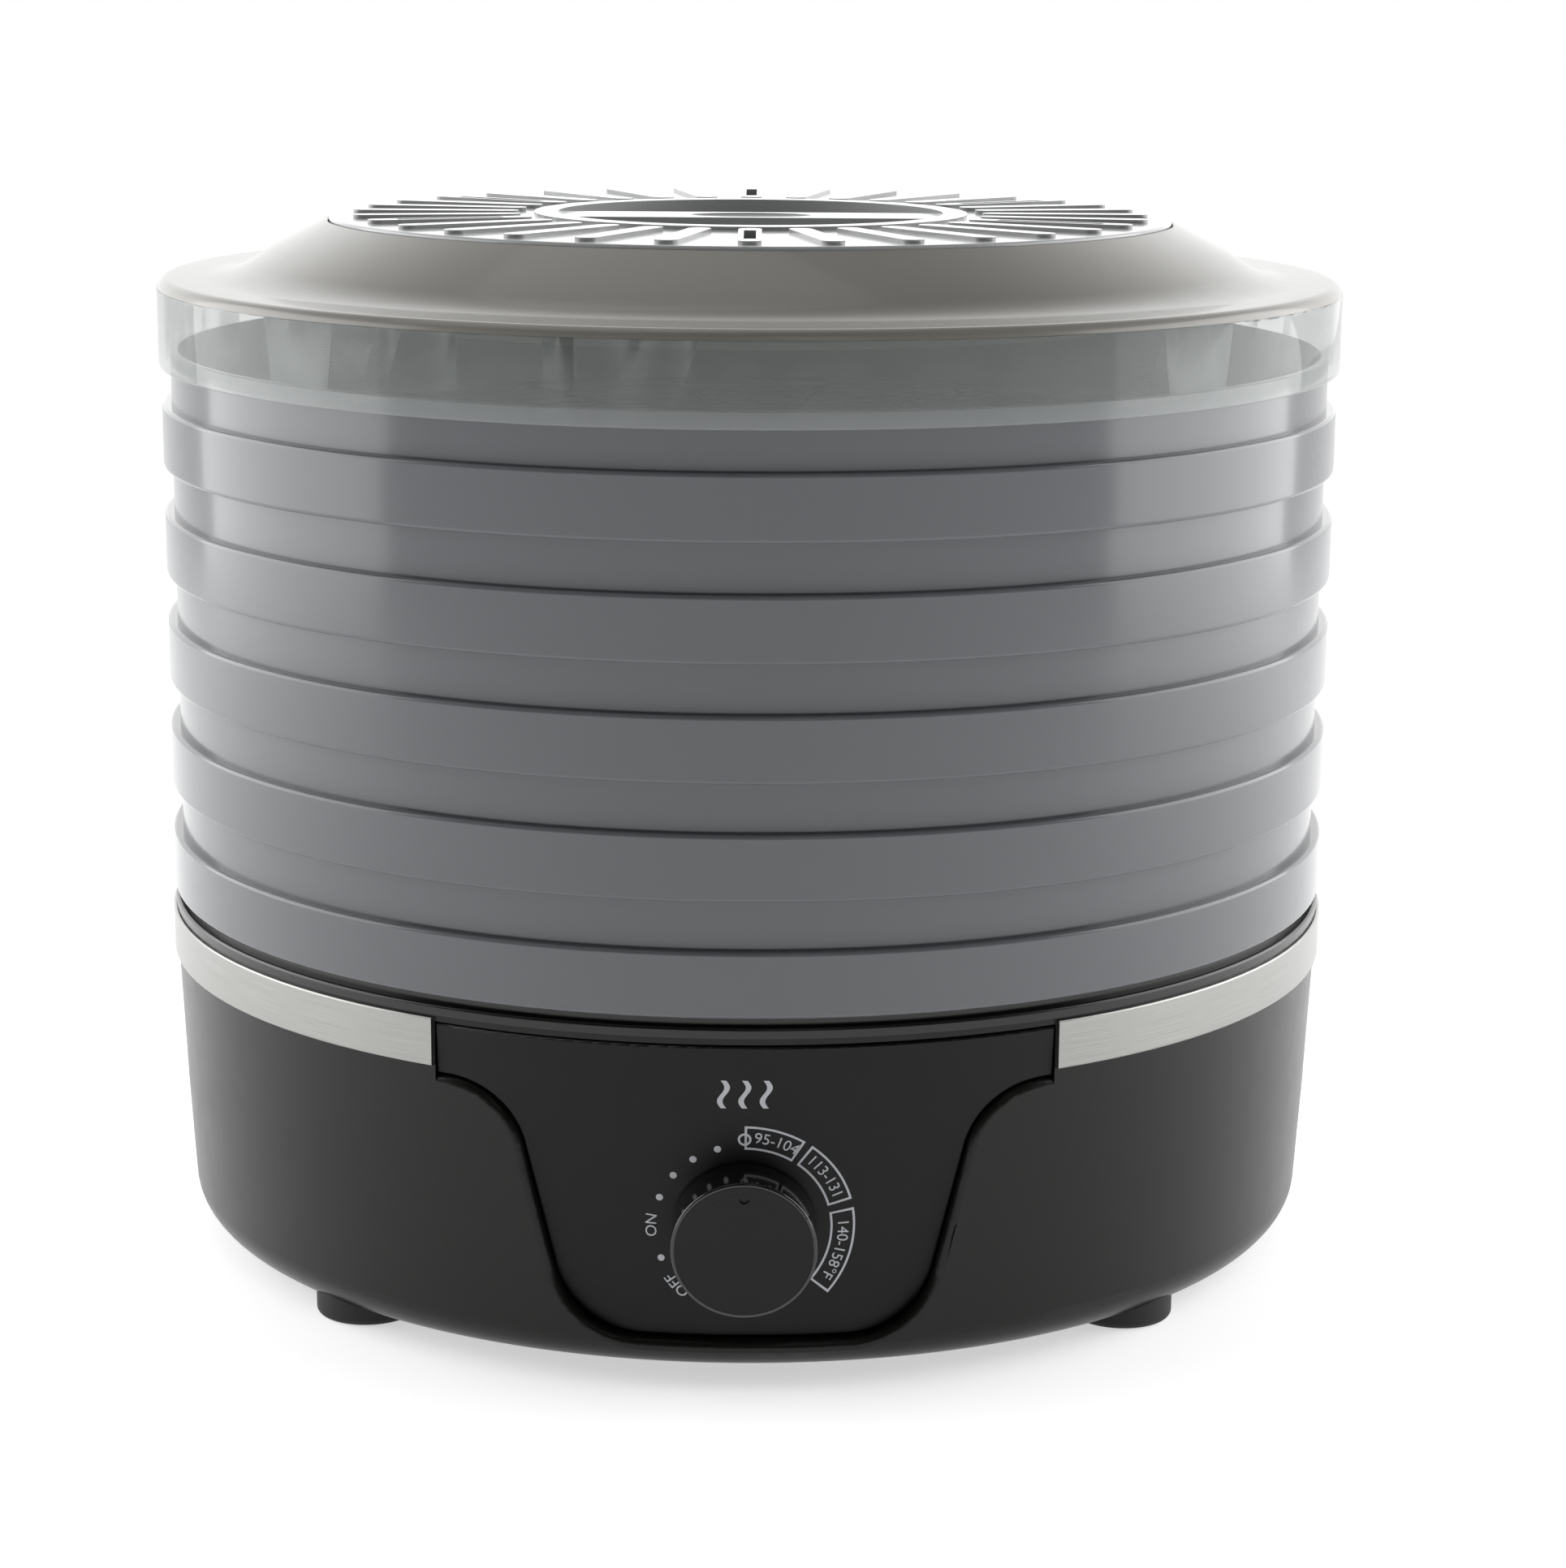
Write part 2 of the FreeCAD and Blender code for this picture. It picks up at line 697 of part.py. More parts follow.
def panel_prism(name, grow):
    """Solid of the control panel's front outline, grown evenly by a margin."""
    body = new_body(name)
    sketch = sketch_on(body, "XZ_Plane", name + "_outline")
    half = s.panelHalfWidth + grow
    top = s.panelTop + grow
    shoulder = s.panelShoulder - grow
    foot = s.panelFoot - grow
    ogee_x = s.panelOgeeAcross
    ogee_z = s.panelShoulder - s.panelOgeeRound
    corner_x = s.panelCornerAcross
    corner_z = s.panelFoot + s.panelCornerRound
    ogee_round = (shoulder - ogee_z).number
    corner_round = (corner_z - foot).number
    across = ogee_x.number - corner_x.number
    rise = ogee_z.number - corner_z.number
    lean = math.atan2(rise, across) - math.acos((ogee_round + corner_round) / math.hypot(across, rise))
    up = math.pi / 2

    def arc(x, z, radius, start, end):
        circle = Part.Circle(FreeCAD.Vector(x.number, z.number, 0), FreeCAD.Vector(0, 0, 1), radius)
        return Part.ArcOfCircle(circle, start, end)

    def line(start, end):
        return Part.LineSegment(start, end)

    def spot(x, z):
        return FreeCAD.Vector(as_size(x).number, as_size(z).number, 0)

    arcs = [
        arc(ogee_x, ogee_z, ogee_round, up, math.pi + lean),
        arc(corner_x, corner_z, corner_round, -up, lean),
        arc(-corner_x, corner_z, corner_round, math.pi - lean, 3 * up),
        arc(-ogee_x, ogee_z, ogee_round, -lean, up),
    ]
    edges = [
        line(spot(-half, top), spot(half, top)),
        line(spot(half, top), spot(half, shoulder)),
        line(spot(half, shoulder), spot(ogee_x, shoulder)),
        arcs[0],
        line(arcs[0].EndPoint, arcs[1].EndPoint),
        arcs[1],
        line(spot(corner_x, foot), spot(-corner_x, foot)),
        arcs[2],
        line(arcs[2].StartPoint, arcs[3].StartPoint),
        arcs[3],
        line(spot(-ogee_x, shoulder), spot(-half, shoulder)),
        line(spot(-half, shoulder), spot(-half, top)),
    ]
    sketch.addGeometry(edges, False)
    meet = [(0, 2, 1, 1), (1, 2, 2, 1), (2, 2, 3, 1), (5, 1, 6, 1), (6, 2, 7, 2), (9, 2, 10, 1),
            (10, 2, 11, 1), (11, 2, 0, 1)]
    sketch.addConstraint([Sketcher.Constraint("Coincident", *ends) for ends in meet])
    blend = [(3, 2, 4, 1), (4, 2, 5, 2), (7, 1, 8, 1), (8, 2, 9, 1)]
    sketch.addConstraint([Sketcher.Constraint("Tangent", *ends) for ends in blend])
    corners = [(0, 1, -half, top), (1, 1, half, top), (2, 1, half, shoulder), (2, 2, ogee_x, shoulder),
               (6, 1, corner_x, foot), (6, 2, -corner_x, foot), (10, 1, -ogee_x, shoulder),
               (10, 2, -half, shoulder), (3, 3, ogee_x, ogee_z), (5, 3, corner_x, corner_z),
               (7, 3, -corner_x, corner_z), (9, 3, -ogee_x, ogee_z)]
    for geometry, end, x, z in corners:
        tie_point(sketch, geometry, end, (x, z))
    pad(body, sketch, REACH, name + "_solid")
    doc.recompute()
    return body


def panel_ring(name, depth_front, depth_back):
    """Ring between two cones that lie behind the panel's front surface."""
    low = s.panelFoot - 2 * s.panelBacking
    high = s.shellTop

    def face(height, depth):
        return s.trayRadius - (s.panelTop - height) * tangent(s.panelTilt) - depth

    body = new_body(name)
    revolve(body, [(face(low, depth_back), low), (face(low, depth_front), low),
                   (face(high, depth_front), high), (face(high, depth_back), high)])
    return body


def make_base_shell(envelope):
    """Bowl with the recess that takes the control panel."""
    backing = panel_ring("recess_backing", -PROUD_REACH, s.panelThick + s.panelBacking)
    outside = panel_prism("recess_wall_outline", s.panelGap + s.panelBacking)
    patch = boolean("Part::MultiCommon", "recess_wall", [outside, backing, envelope])
    joined = boolean("Part::MultiFuse", "bowl_with_wall", [make_bowl(), patch])
    opening = panel_ring("recess_depth", -PROUD_REACH, s.panelThick)
    inside = panel_prism("recess_outline", s.panelGap)
    recess = boolean("Part::MultiCommon", "recess", [inside, opening])
    hollow = boolean("Part::Cut", "shell_with_recess", [joined, recess])
    lip = lip_edges(hollow.Shape, envelope.Shape)
    rounded = doc.addObject("Part::Fillet", "shell_lip")
    rounded.Base = hollow
    rounded.Edges = [(number, s.recessRound.number, s.recessRound.number) for number in lip]
    doc.recompute()
    bush_hole = cylinder("bush_hole", s.bushRadius + s.bushHoleGap, WALL_REACH)
    set_on_dial(bush_hole)
    back = doc.addObject("Part::Cylinder", "bush_hole_back")
    bind(back, Radius=s.bushRadius + s.bushHoleGap, Height=WALL_REACH)
    turn_in(back)
    gland_hole = cylinder("gland_hole", s.glandRadius + s.bushHoleGap, REACH)
    lay_to_rear(gland_hole, as_size(REAR_START), s.glandHeight)
    return keep(cut_all("base_shell", rounded, [bush_hole, back, gland_hole]))


def turn_in(feature):
    """Lay a piece along the dial axis, pointing in."""
    turn = FreeCAD.Rotation(FreeCAD.Vector(-1, 0, 0), 90 - s.panelTilt.number)
    feature.Placement = FreeCAD.Placement(FreeCAD.Vector(0, 0, 0), turn)
    feature.setExpression("Placement.Rotation.Angle", f"90 - {s.panelTilt.text}")
    place(feature, 0, -dial_radius, s.dialHeight)


def lay_to_rear(feature, back, height):
    """Lay a piece along +Y with its foot at the given distance back and height."""
    turn = FreeCAD.Rotation(FreeCAD.Vector(1, 0, 0), -90)
    feature.Placement = FreeCAD.Placement(FreeCAD.Vector(0, 0, 0), turn)
    place(feature, 0, back, height)


def lip_edges(shape, envelope):
    """Numbers of the recess edges that lie on the shell's outer skin, below the shoulder."""
    skin = envelope.Shells[0]
    low = s.panelFoot.number - s.panelBacking.number
    high = (s.panelShoulder - s.panelGap).number + TOLERANCE
    numbers = []
    for number, edge in enumerate(shape.Edges, 1):
        box = edge.BoundBox
        if box.YMax > -s.trayRadius.number / 2 or box.ZMin < low or box.ZMax > high:
            continue
        ends = [edge.FirstParameter, (edge.FirstParameter + edge.LastParameter) / 2, edge.LastParameter]
        points = [Part.Vertex(edge.valueAt(value)) for value in ends]
        if max(skin.distToShape(point)[0] for point in points) < ON_SURFACE:
            numbers.append(number)
    return numbers


# ---------------------------------------------------------------- outside of the base

def make_top_deck():
    """Cover of the base: stepped rim, shallow floor and the collar round the air outlet."""
    body = new_body("top_deck_blank")
    edge = s.trayRadius - s.deckLipInset
    spigot = shell_radius - s.shellWall - s.deckSpigotGap
    rim_inner = neck_inner
    seat = stack_bottom + s.traySeatDepth
    collar = outlet_radius + s.outletWall
    collar_top = deck_floor_top + s.outletCollar
    ledge_top = collar_top - s.grilleThick - s.grilleGap
    hole = outlet_radius - s.outletLedge
    spigot_inner = spigot - s.shellWall
    revolve(body, [
        (edge, s.shellTop), (edge, deck_top), (neck_outer, deck_top), (neck_outer, seat), (rim_inner, seat),
        (rim_inner, deck_floor_top), (collar, deck_floor_top), (collar, collar_top),
        (outlet_radius, collar_top), (outlet_radius, ledge_top), (hole, ledge_top), (hole, deck_underside),
        (spigot_inner, deck_underside), (spigot_inner, s.shellTop - s.deckSpigot),
        (spigot, s.shellTop - s.deckSpigot), (spigot, s.shellTop),
    ])
    round_rings(body, [(edge, deck_top), (neck_outer, seat)], s.plateEdgeRound, "rim_round")
    bosses = sketch_on(body, "XY_Plane", "deck_boss_outline", s.postTop)
    for x, y in around(post_circle, s.postAngle):
        draw_circle(bosses, s.postRadius, x, y)
    pad(body, bosses, deck_underside - s.postTop + s.deckFloor / 2, "deck_bosses")
    holes = sketch_on(body, "XY_Plane", "deck_hole_outline", s.postTop)
    for x, y in around(post_circle, s.postAngle):
        draw_circle(holes, screw_hole, x, y)
    pocket(body, holes, s.deckScrewHole, "deck_holes", reverse=True)
    duct_holes = sketch_on(body, "XY_Plane", "duct_hole_outline", deck_underside)
    for x, y in around(duct_screw_circle, DUCT_SCREW_START, DUCT_SCREWS):
        draw_circle(duct_holes, screw_hole, x, y)
    pocket(body, duct_holes, s.ductScrewLength - s.ductFlangeThick + s.screwEndGap, "duct_holes",
           reverse=True)
    doc.recompute()
    wall = panel_prism("spigot_gap_outline", s.panelGap + s.panelBacking + s.deckSpigotGap)
    zone = panel_ring("spigot_gap_ring", -PROUD_REACH, s.panelThick + s.panelBacking + s.deckSpigotGap)
    gap = boolean("Part::MultiCommon", "spigot_gap", [wall, zone])
    return keep(boolean("Part::Cut", "top_deck", [body, gap]))


def make_outlet_grille():
    """Round grille that drops into the collar of the deck."""
    body = new_body("outlet_grille")
    radius = outlet_radius - s.grilleGap
    bottom = deck_floor_top + s.outletCollar - s.grilleThick
    disc = sketch_on(body, "XY_Plane", "grille_outline", bottom)
    draw_circle(disc, radius)
    pad(body, disc, s.grilleThick, "grille_disc")
    doc.recompute()
    web_pocket(body, s.grilleSides, s.grilleHub, s.grilleRowPitch, GRILLE_ROWS, s.grilleRib, s.grilleThick,
               bottom + s.grilleThick)
    return keep(body)


def make_trim_band():
    """Brushed steel strip round the shell, open across the control panel."""
    body = new_body("trim_band")
    sketch = sketch_on(body, "YZ_Plane", "band_outline")
    outer = shell_radius + s.bandThick
    top = s.bandBottom + s.bandHeight
    draw_box(sketch, shell_radius, outer, s.bandBottom, top)
    band = body.newObject("PartDesign::Revolution", "band")
    band.Profile = sketch
    band.ReferenceAxis = (sketch, ["V_Axis"])
    band.Midplane = True
    bind(band, Angle=360 - 2 * s.bandGapAngle)
    round_rings(body, [(outer, s.bandBottom), (outer, top)], s.bandRound, "band_round")
    return keep(body)


def make_control_panel():
    """Curved fascia that fills the recess, with the hole for the thermostat's nut."""
    prism = panel_prism("panel_prism", as_size(0))
    sheet_ring = panel_ring("panel_sheet", as_size(0), s.panelThick)
    blank = boolean("Part::MultiCommon", "panel_blank", [prism, sheet_ring])
    front = []
    for number, edge in enumerate(blank.Shape.Edges, 1):
        if all(on_panel_front(edge.valueAt(value)) for value in edge.ParameterRange):
            front.append((number, s.panelFrontRound.number, s.panelFrontRound.number))
    rounded = doc.addObject("Part::Fillet", "panel_rounded")
    rounded.Base = blank
    rounded.Edges = front
    doc.recompute()
    hole = doc.addObject("Part::Cylinder", "panel_hole")
    bind(hole, Radius=s.panelHoleRadius, Height=WALL_REACH)
    set_on_dial(hole)
    back = doc.addObject("Part::Cylinder", "panel_hole_back")
    bind(back, Radius=s.panelHoleRadius, Height=WALL_REACH)
    turn_in(back)
    return keep(cut_all("control_panel", rounded, [hole, back]))


def on_panel_front(point):
    """Whether a point lies on the front surface of the control panel."""
    slope = math.tan(math.radians(s.panelTilt.number))
    radius = s.trayRadius.number - (s.panelTop.number - point.z) * slope
    return abs(math.hypot(point.x, point.y) - radius) < ON_SURFACE


def make_feet(envelope):
    """Four rubber feet whose tops follow the rounded corner of the shell."""
    names = ["foot_rear_right", "foot_rear_left", "foot_front_left", "foot_front_right"]
    for name, (x, y) in zip(names, around(foot_circle, FOOT_START)):
        blank = new_body(name + "_blank")
        inner = s.footScrewRadius + s.screwPlay
        top = s.baseLift + s.footRise
        revolve(blank, [
            (inner, s.footCounterboreDepth), (s.footCounterbore, s.footCounterboreDepth),
            (s.footCounterbore, 0), (s.footRadius, 0), (s.footRadius, top), (inner, top),
        ])
        round_rings(blank, [(s.footRadius, 0)], s.footRound, "foot_round")
        place(blank, x, y, 0)
        keep(boolean("Part::Cut", name, [blank, envelope]))
    seat = s.footCounterboreDepth
    screw_set("foot_screws", around(foot_circle, FOOT_START), seat, s.footScrewLength)


def make_deck_screws():
    """Long screws from the wells under the shell into the deck's bosses."""
    screw_set("deck_screws", around(post_circle, s.postAngle), s.postTop - s.postFloor, s.deckScrewLength)


# ---------------------------------------------------------------- knob and thermostat

def make_knob():
    body = new_body("knob")
    floor = s.knobReach - s.capThick
    ceiling = s.knobReach - s.knobTopWall
    pit = cap_radius + s.capGap
    revolve(body, [
        (s.knobRadius - s.knobWall, s.knobGap), (s.knobRadius, s.knobGap), (s.knobRadius, s.knobReach),
        (pit, s.knobReach), (pit, floor), (0, floor), (0, s.knobSocketTop), (s.shaftRadius, s.knobSocketTop),
        (s.shaftRadius, s.knobHubFoot), (s.knobHubRadius, s.knobHubFoot), (s.knobHubRadius, ceiling),
        (s.knobRadius - s.knobWall, ceiling),
    ])
    round_rings(body, [(s.knobRadius, s.knobReach)], s.knobRound, "knob_round")
    set_on_dial(body)
    keep(body)

    cap = new_body("knob_cap")
    disc = sketch_on(cap, "XY_Plane", "cap_outline", floor)
    draw_circle(disc, cap_radius)
    pad(cap, disc, s.capThick, "cap_disc")
    dimple = sketch_on(cap, "XY_Plane", "dimple_outline", s.knobReach)
    draw_circle(dimple, s.dimpleRadius, 0, cap_radius - s.dimpleInset)
    pocket(cap, dimple, s.dimpleDepth, "dimple")
    set_on_dial(cap)
    keep(cap)

    shaft = new_body("thermostat_shaft")
    foot = -s.thermostatSet - s.thermostatBore + s.shaftEndGap
    revolve(shaft, [(0, foot), (s.shaftRadius, foot), (s.shaftRadius, s.knobSocketTop), (0, s.knobSocketTop)])
    set_on_dial(shaft)
    keep(shaft)


def make_thermostat():
    bore = s.shaftRadius + s.shaftPlay
    housing = new_body("thermostat_body")
    outline = sketch_on(housing, "XY_Plane", "housing_outline", -s.thermostatSet)
    draw_box(outline, -s.thermostatWidth / 2, s.thermostatWidth / 2,
             -s.thermostatHeight / 2, s.thermostatHeight / 2)
    pad(housing, outline, s.thermostatDepth, "housing", reverse=True)
    socket = sketch_on(housing, "XY_Plane", "socket_outline", -s.thermostatSet)
    draw_circle(socket, bore)
    pocket(housing, socket, s.thermostatBore, "socket")
    set_on_dial(housing)
    keep(housing)

    bush = new_body("thermostat_bush")
    revolve(bush, [(bore, -s.thermostatSet), (s.bushRadius, -s.thermostatSet),
                   (s.bushRadius, s.bushReach), (bore, s.bushReach)])
    set_on_dial(bush)
    keep(bush)

    nut = new_body("thermostat_nut")
    foot = -s.panelThick + s.screwPlay
    outline = sketch_on(nut, "XY_Plane", "nut_outline", foot)
    across = s.nutFlats / 2 / cosine(as_size(30))
    draw_outline(outline, around(across, 0, 6))
    draw_circle(outline, s.bushRadius)
    pad(nut, outline, s.nutThick, "nut_disc")
    set_on_dial(nut)
    keep(nut)


# ---------------------------------------------------------------- motor, fan and heater

strap_bottom = s.stackBottom - s.strapStand - s.strapThick
stack_top_face = s.stackBottom + s.stackHeight
axle_bore = s.axleRadius + s.axlePlay
motor_hole = s.motorScrewRadius + s.screwPlay


def make_strap(name, reach, foot, stand_foot, screws):
    """Bearing strap: flat bar, bush for the axle and two stand-offs."""
    body = new_body(name)
    bar = sketch_on(body, "XY_Plane", "bar_outline", foot)
    draw_box(bar, -reach, reach, -s.strapWidth / 2, s.strapWidth / 2)
    pad(body, bar, s.strapThick, "bar")
    stands = sketch_on(body, "XY_Plane", "stand_outline", stand_foot)
    for x in (-s.motorScrewAcross, s.motorScrewAcross):
        draw_circle(stands, s.motorScrewRadius * 2, x, 0)
    draw_circle(stands, s.strapBush)
    pad(body, stands, s.strapStand, "stands")
    holes = sketch_on(body, "XY_Plane", "bore_outline", s.baseLift)
    draw_circle(holes, axle_bore)
    for x in screws:
        draw_circle(holes, motor_hole, x, 0)
    pocket(body, holes, s.shellTop, "bores", reverse=True)
    doc.recompute()
    return keep(body)


def make_motor():
    """Shaded-pole motor: stack, winding, straps, rotor, axle and screws."""
    stack = new_body("motor_stator")
    outline = sketch_on(stack, "XY_Plane", "stack_outline", s.stackBottom)
    window_front = s.stackBack - s.limbDepth - s.windowDepth
    draw_box(outline, -s.stackWidth / 2, s.stackWidth / 2, -s.stackDepth / 2, s.stackBack)
    draw_circle(outline, s.rotorRadius + s.rotorGap)
    half_window = s.windingWidth / 2 + s.windingGap
    draw_box(outline, -half_window, half_window, window_front, s.stackBack - s.limbDepth)
    for x in (-s.motorScrewAcross, s.motorScrewAcross):
        draw_circle(outline, motor_hole, x, 0)
    pad(stack, outline, s.stackHeight, "stack")
    keep(stack)

    winding = new_body("motor_winding")
    section = sketch_on(winding, "YZ_Plane", "winding_outline", -s.windingWidth / 2)
    limb_front = s.stackBack - s.limbDepth - s.windingGap
    limb_back = s.stackBack + s.windingGap
    limb_low = s.stackBottom - s.windingGap
    limb_high = stack_top_face + s.windingGap
    draw_box(section, limb_front - s.windingBack, limb_back + s.windingBack,
             limb_low - s.windingThick, limb_high + s.windingThick)
    draw_box(section, limb_front, limb_back, limb_low, limb_high)
    pad(winding, section, s.windingWidth, "winding")
    keep(winding)

    lower = (-s.motorScrewAcross, s.motorScrewAcross, -s.motorPostAcross, s.motorPostAcross)
    make_strap("motor_lower_strap", s.motorPostAcross + s.strapWidth / 2, strap_bottom,
               s.stackBottom - s.strapStand, lower)
    make_strap("motor_upper_strap", s.motorScrewAcross + s.strapWidth / 2,
               stack_top_face + s.strapStand, stack_top_face, lower[:2])
    across = [(-s.motorScrewAcross, 0), (s.motorScrewAcross, 0)]
    length = s.stackHeight + 2 * (s.strapStand + s.strapThick)
    screw_set("motor_screws", across, strap_bottom, length)
    posts = [(-s.motorPostAcross, 0), (s.motorPostAcross, 0)]
    grip = s.footScrewLength + s.strapThick - s.screwPlay
    screw_set("strap_screws", posts, strap_bottom + s.strapThick, grip, head_below=False)

    rotor = new_body("motor_rotor")
    low = s.stackBottom + s.rotorGap
    high = stack_top_face - s.rotorGap
    revolve(rotor, [(s.axleRadius, low), (s.rotorRadius, low), (s.rotorRadius, high), (s.axleRadius, high)])
    keep(rotor)
    axle = new_body("motor_axle")
    foot = strap_bottom - s.strapThick
    revolve(axle, [(0, foot), (s.axleRadius, foot), (s.axleRadius, s.fanBottom + s.fanHeight),
                   (0, s.fanBottom + s.fanHeight)])
    keep(axle)


def make_fan():
    """Axial impeller pressed on the axle."""
    body = new_body("fan_impeller")
    middle = s.fanBottom + s.fanHeight / 2
    revolve(body, [(s.axleRadius, s.fanBottom), (s.fanHubRadius, s.fanBottom),
                   (s.fanHubRadius, s.fanBottom + s.fanHeight), (s.axleRadius, s.fanBottom + s.fanHeight)])
    sections = []
    stations = [
        ("root_section", s.fanHubRadius - s.fanBladeThick, s.fanRootChord, s.fanRootPitch),
        ("tip_section", s.fanRadius, s.fanTipChord, s.fanTipPitch),
    ]
    for name, station, chord, pitch in stations:
        section = sketch_on(body, "XZ_Plane", name, station)
        along = (chord / 2 * cosine(pitch), chord / 2 * sine(pitch))
        aside = (-s.fanBladeThick / 2 * sine(pitch), s.fanBladeThick / 2 * cosine(pitch))
        corners = []
        for forward, side in ((-1, -1), (1, -1), (1, 1), (-1, 1)):
            x = along[0] * forward + aside[0] * side
            z = middle + along[1] * forward + aside[1] * side
            corners.append((x, z))
        draw_outline(section, corners)
        sections.append(section)
    blade = body.newObject("PartDesign::AdditiveLoft", "blade")
    blade.Profile = sections[0]
    blade.Sections = [sections[1]]
    blade.Ruled = True
    repeat_around(body, [blade], s.fanBlades, "blades")
    doc.recompute()
    return keep(body)


def make_duct():
    """Tube round the fan and heater, hung from the deck by a flange."""
    body = new_body("fan_duct")
    outer = duct_radius + s.ductWall
    flange_foot = deck_underside - s.ductFlangeThick
    revolve(body, [(duct_radius, s.ductBottom), (outer, s.ductBottom), (outer, flange_foot),
                   (duct_flange, flange_foot), (duct_flange, deck_underside), (duct_radius, deck_underside)])
    ledge = sketch_on(body, "XY_Plane", "ledge_outline", s.boardBottom - s.ductLedge)
    draw_box(ledge, duct_radius - s.ductLedge, duct_radius + s.ductWall / 2, -s.ductLedge, s.ductLedge)
    ledge_pad = pad(body, ledge, s.ductLedge, "ledge")
    repeat_around(body, [ledge_pad], QUARTERS, "ledges")
    holes = sketch_on(body, "XY_Plane", "flange_hole_outline", flange_foot)
    spots = around(duct_screw_circle, DUCT_SCREW_START, DUCT_SCREWS)
    for x, y in spots:
        draw_circle(holes, screw_hole, x, y)
    pocket(body, holes, s.ductFlangeThick, "flange_holes", reverse=True)
    keep(body)
    screw_set("duct_screws", spots, flange_foot, s.ductScrewLength)


def make_heater():
    """Two halved mica boards that carry two ring-shaped elements, and a thermal fuse."""
    half = duct_radius - s.boardGap
    middle = s.boardBottom + s.boardHeight / 2
    slot = s.boardThick / 2 + s.screwPlay
    low = s.boardBottom
    high = s.boardBottom + s.boardHeight
    plans = [
        ("heater_board_x", "XZ_Plane", [(-slot, low), (-slot, middle), (slot, middle), (slot, low)], low),
        ("heater_board_y", "YZ_Plane", [(slot, high), (slot, middle), (-slot, middle), (-slot, high)], high),
    ]
    for name, plane, notch, notch_side in plans:
        body = new_body(name)
        outline = sketch_on(body, plane, name + "_outline", -s.boardThick / 2)
        if notch_side is low:
            corners = [(-half, low)] + notch + [(half, low), (half, high), (-half, high)]
        else:
            corners = [(-half, low), (half, low), (half, high)] + notch + [(-half, high)]
        draw_outline(outline, corners)
        for radius in (s.coilInner, s.coilOuter):
            for side in (-1, 1):
                draw_circle(outline, s.coilThick + s.coilHoleGap, radius * side, middle)
        pad(body, outline, s.boardThick, name + "_sheet")
        keep(body)
    rings = []
    for name, radius in (("element_inner", s.coilInner), ("element_outer", s.coilOuter)):
        ring = doc.addObject("Part::Torus", name)
        bind(ring, Radius1=radius, Radius2=s.coilThick)
        place(ring, 0, 0, middle)
        rings.append(ring)
    keep(boolean("Part::MultiFuse", "heater_elements", rings))
    fuse = doc.addObject("Part::Cylinder", "thermal_fuse")
    fuse.Label = "thermal_fuse"
    bind(fuse, Radius=s.fuseRadius, Height=s.fuseLength)
    lying = FreeCAD.Rotation(FreeCAD.Vector(0, 1, 0), 90)
    fuse.Placement = FreeCAD.Placement(FreeCAD.Vector(0, 0, 0), lying)
    place(fuse, s.fuseRadius, 0, high + s.fuseRadius)
    keep(fuse)


# ---------------------------------------------------------------- mains entry

def make_mains_entry():
    """Cord bush in the rear wall and the terminal block behind it."""
    gland = new_body("cord_gland")
    flange_foot = s.glandLength
    revolve(gland, [
        (s.glandBore, 0), (s.glandRadius, 0), (s.glandRadius, flange_foot), (s.glandFlange, flange_foot),
        (s.glandFlange, flange_foot + s.glandFlangeThick), (s.glandBore, flange_foot + s.glandFlangeThick),
    ])
    round_rings(gland, [(s.glandFlange, flange_foot + s.glandFlangeThick)], s.bandThick, "gland_round")
    skin = s.trayRadius - s.shellWaistInset
    lay_to_rear(gland, skin - s.glandLength, s.glandHeight)
    keep(gland)

    terminals = block("terminal_block_blank", s.terminalWidth, s.terminalDepth, s.terminalHeight,
                      -s.terminalAcross, s.terminalBack, shell_floor)
    spots = [(-s.terminalAcross + s.terminalPitch * step, s.terminalBack) for step in (-1, 0, 1)]
    holes = []
    depth = s.terminalHeight / 2
    for number, (x, y) in enumerate(spots):
        height = shell_floor + s.terminalHeight - depth
        holes.append(cylinder(f"terminal_hole_{number}", s.footScrewRadius + s.screwPlay, s.terminalHeight,
                              x, y, height))
    keep(cut_all("terminal_block", terminals, holes))
    screw_set("terminal_screws", spots, shell_floor + s.terminalHeight, depth - s.screwEndGap,
              head_below=False)


# ---------------------------------------------------------------- trays

def make_tray_shape():
    """One tray at ground level: skirt, neck and a web floor with a hole in the middle."""
    body = new_body("tray_shape")
    floor_top = s.traySeatDepth + s.trayFloor
    step = s.traySkirtHeight - s.trayShoulder
    revolve(body, [
        (skirt_inner, 0), (s.trayRadius, 0), (s.trayRadius, s.traySkirtHeight),
        (neck_outer, s.traySkirtHeight), (neck_outer, rim_height), (neck_inner, rim_height),
        (neck_inner, step), (skirt_inner, step), (skirt_inner, floor_top), (s.trayHubHole, floor_top),
        (s.trayHubHole, s.traySeatDepth), (skirt_inner, s.traySeatDepth),
    ])
    round_rings(body, [(s.trayRadius, 0), (s.trayRadius, s.traySkirtHeight)], s.trayEdgeRound, "skirt_round")
    round_rings(body, [(neck_outer, rim_height)], s.trayEdgeRound / 2, "rim_round")
    span = neck_inner.number - s.trayHubRadius.number - 2 * s.trayRib.number
    rows = int(span // s.trayRowPitch.number)
    web_pocket(body, s.trayWebSides, s.trayHubRadius, s.trayRowPitch, rows, s.trayRib, s.trayFloor, floor_top)
    doc.recompute()
    return body


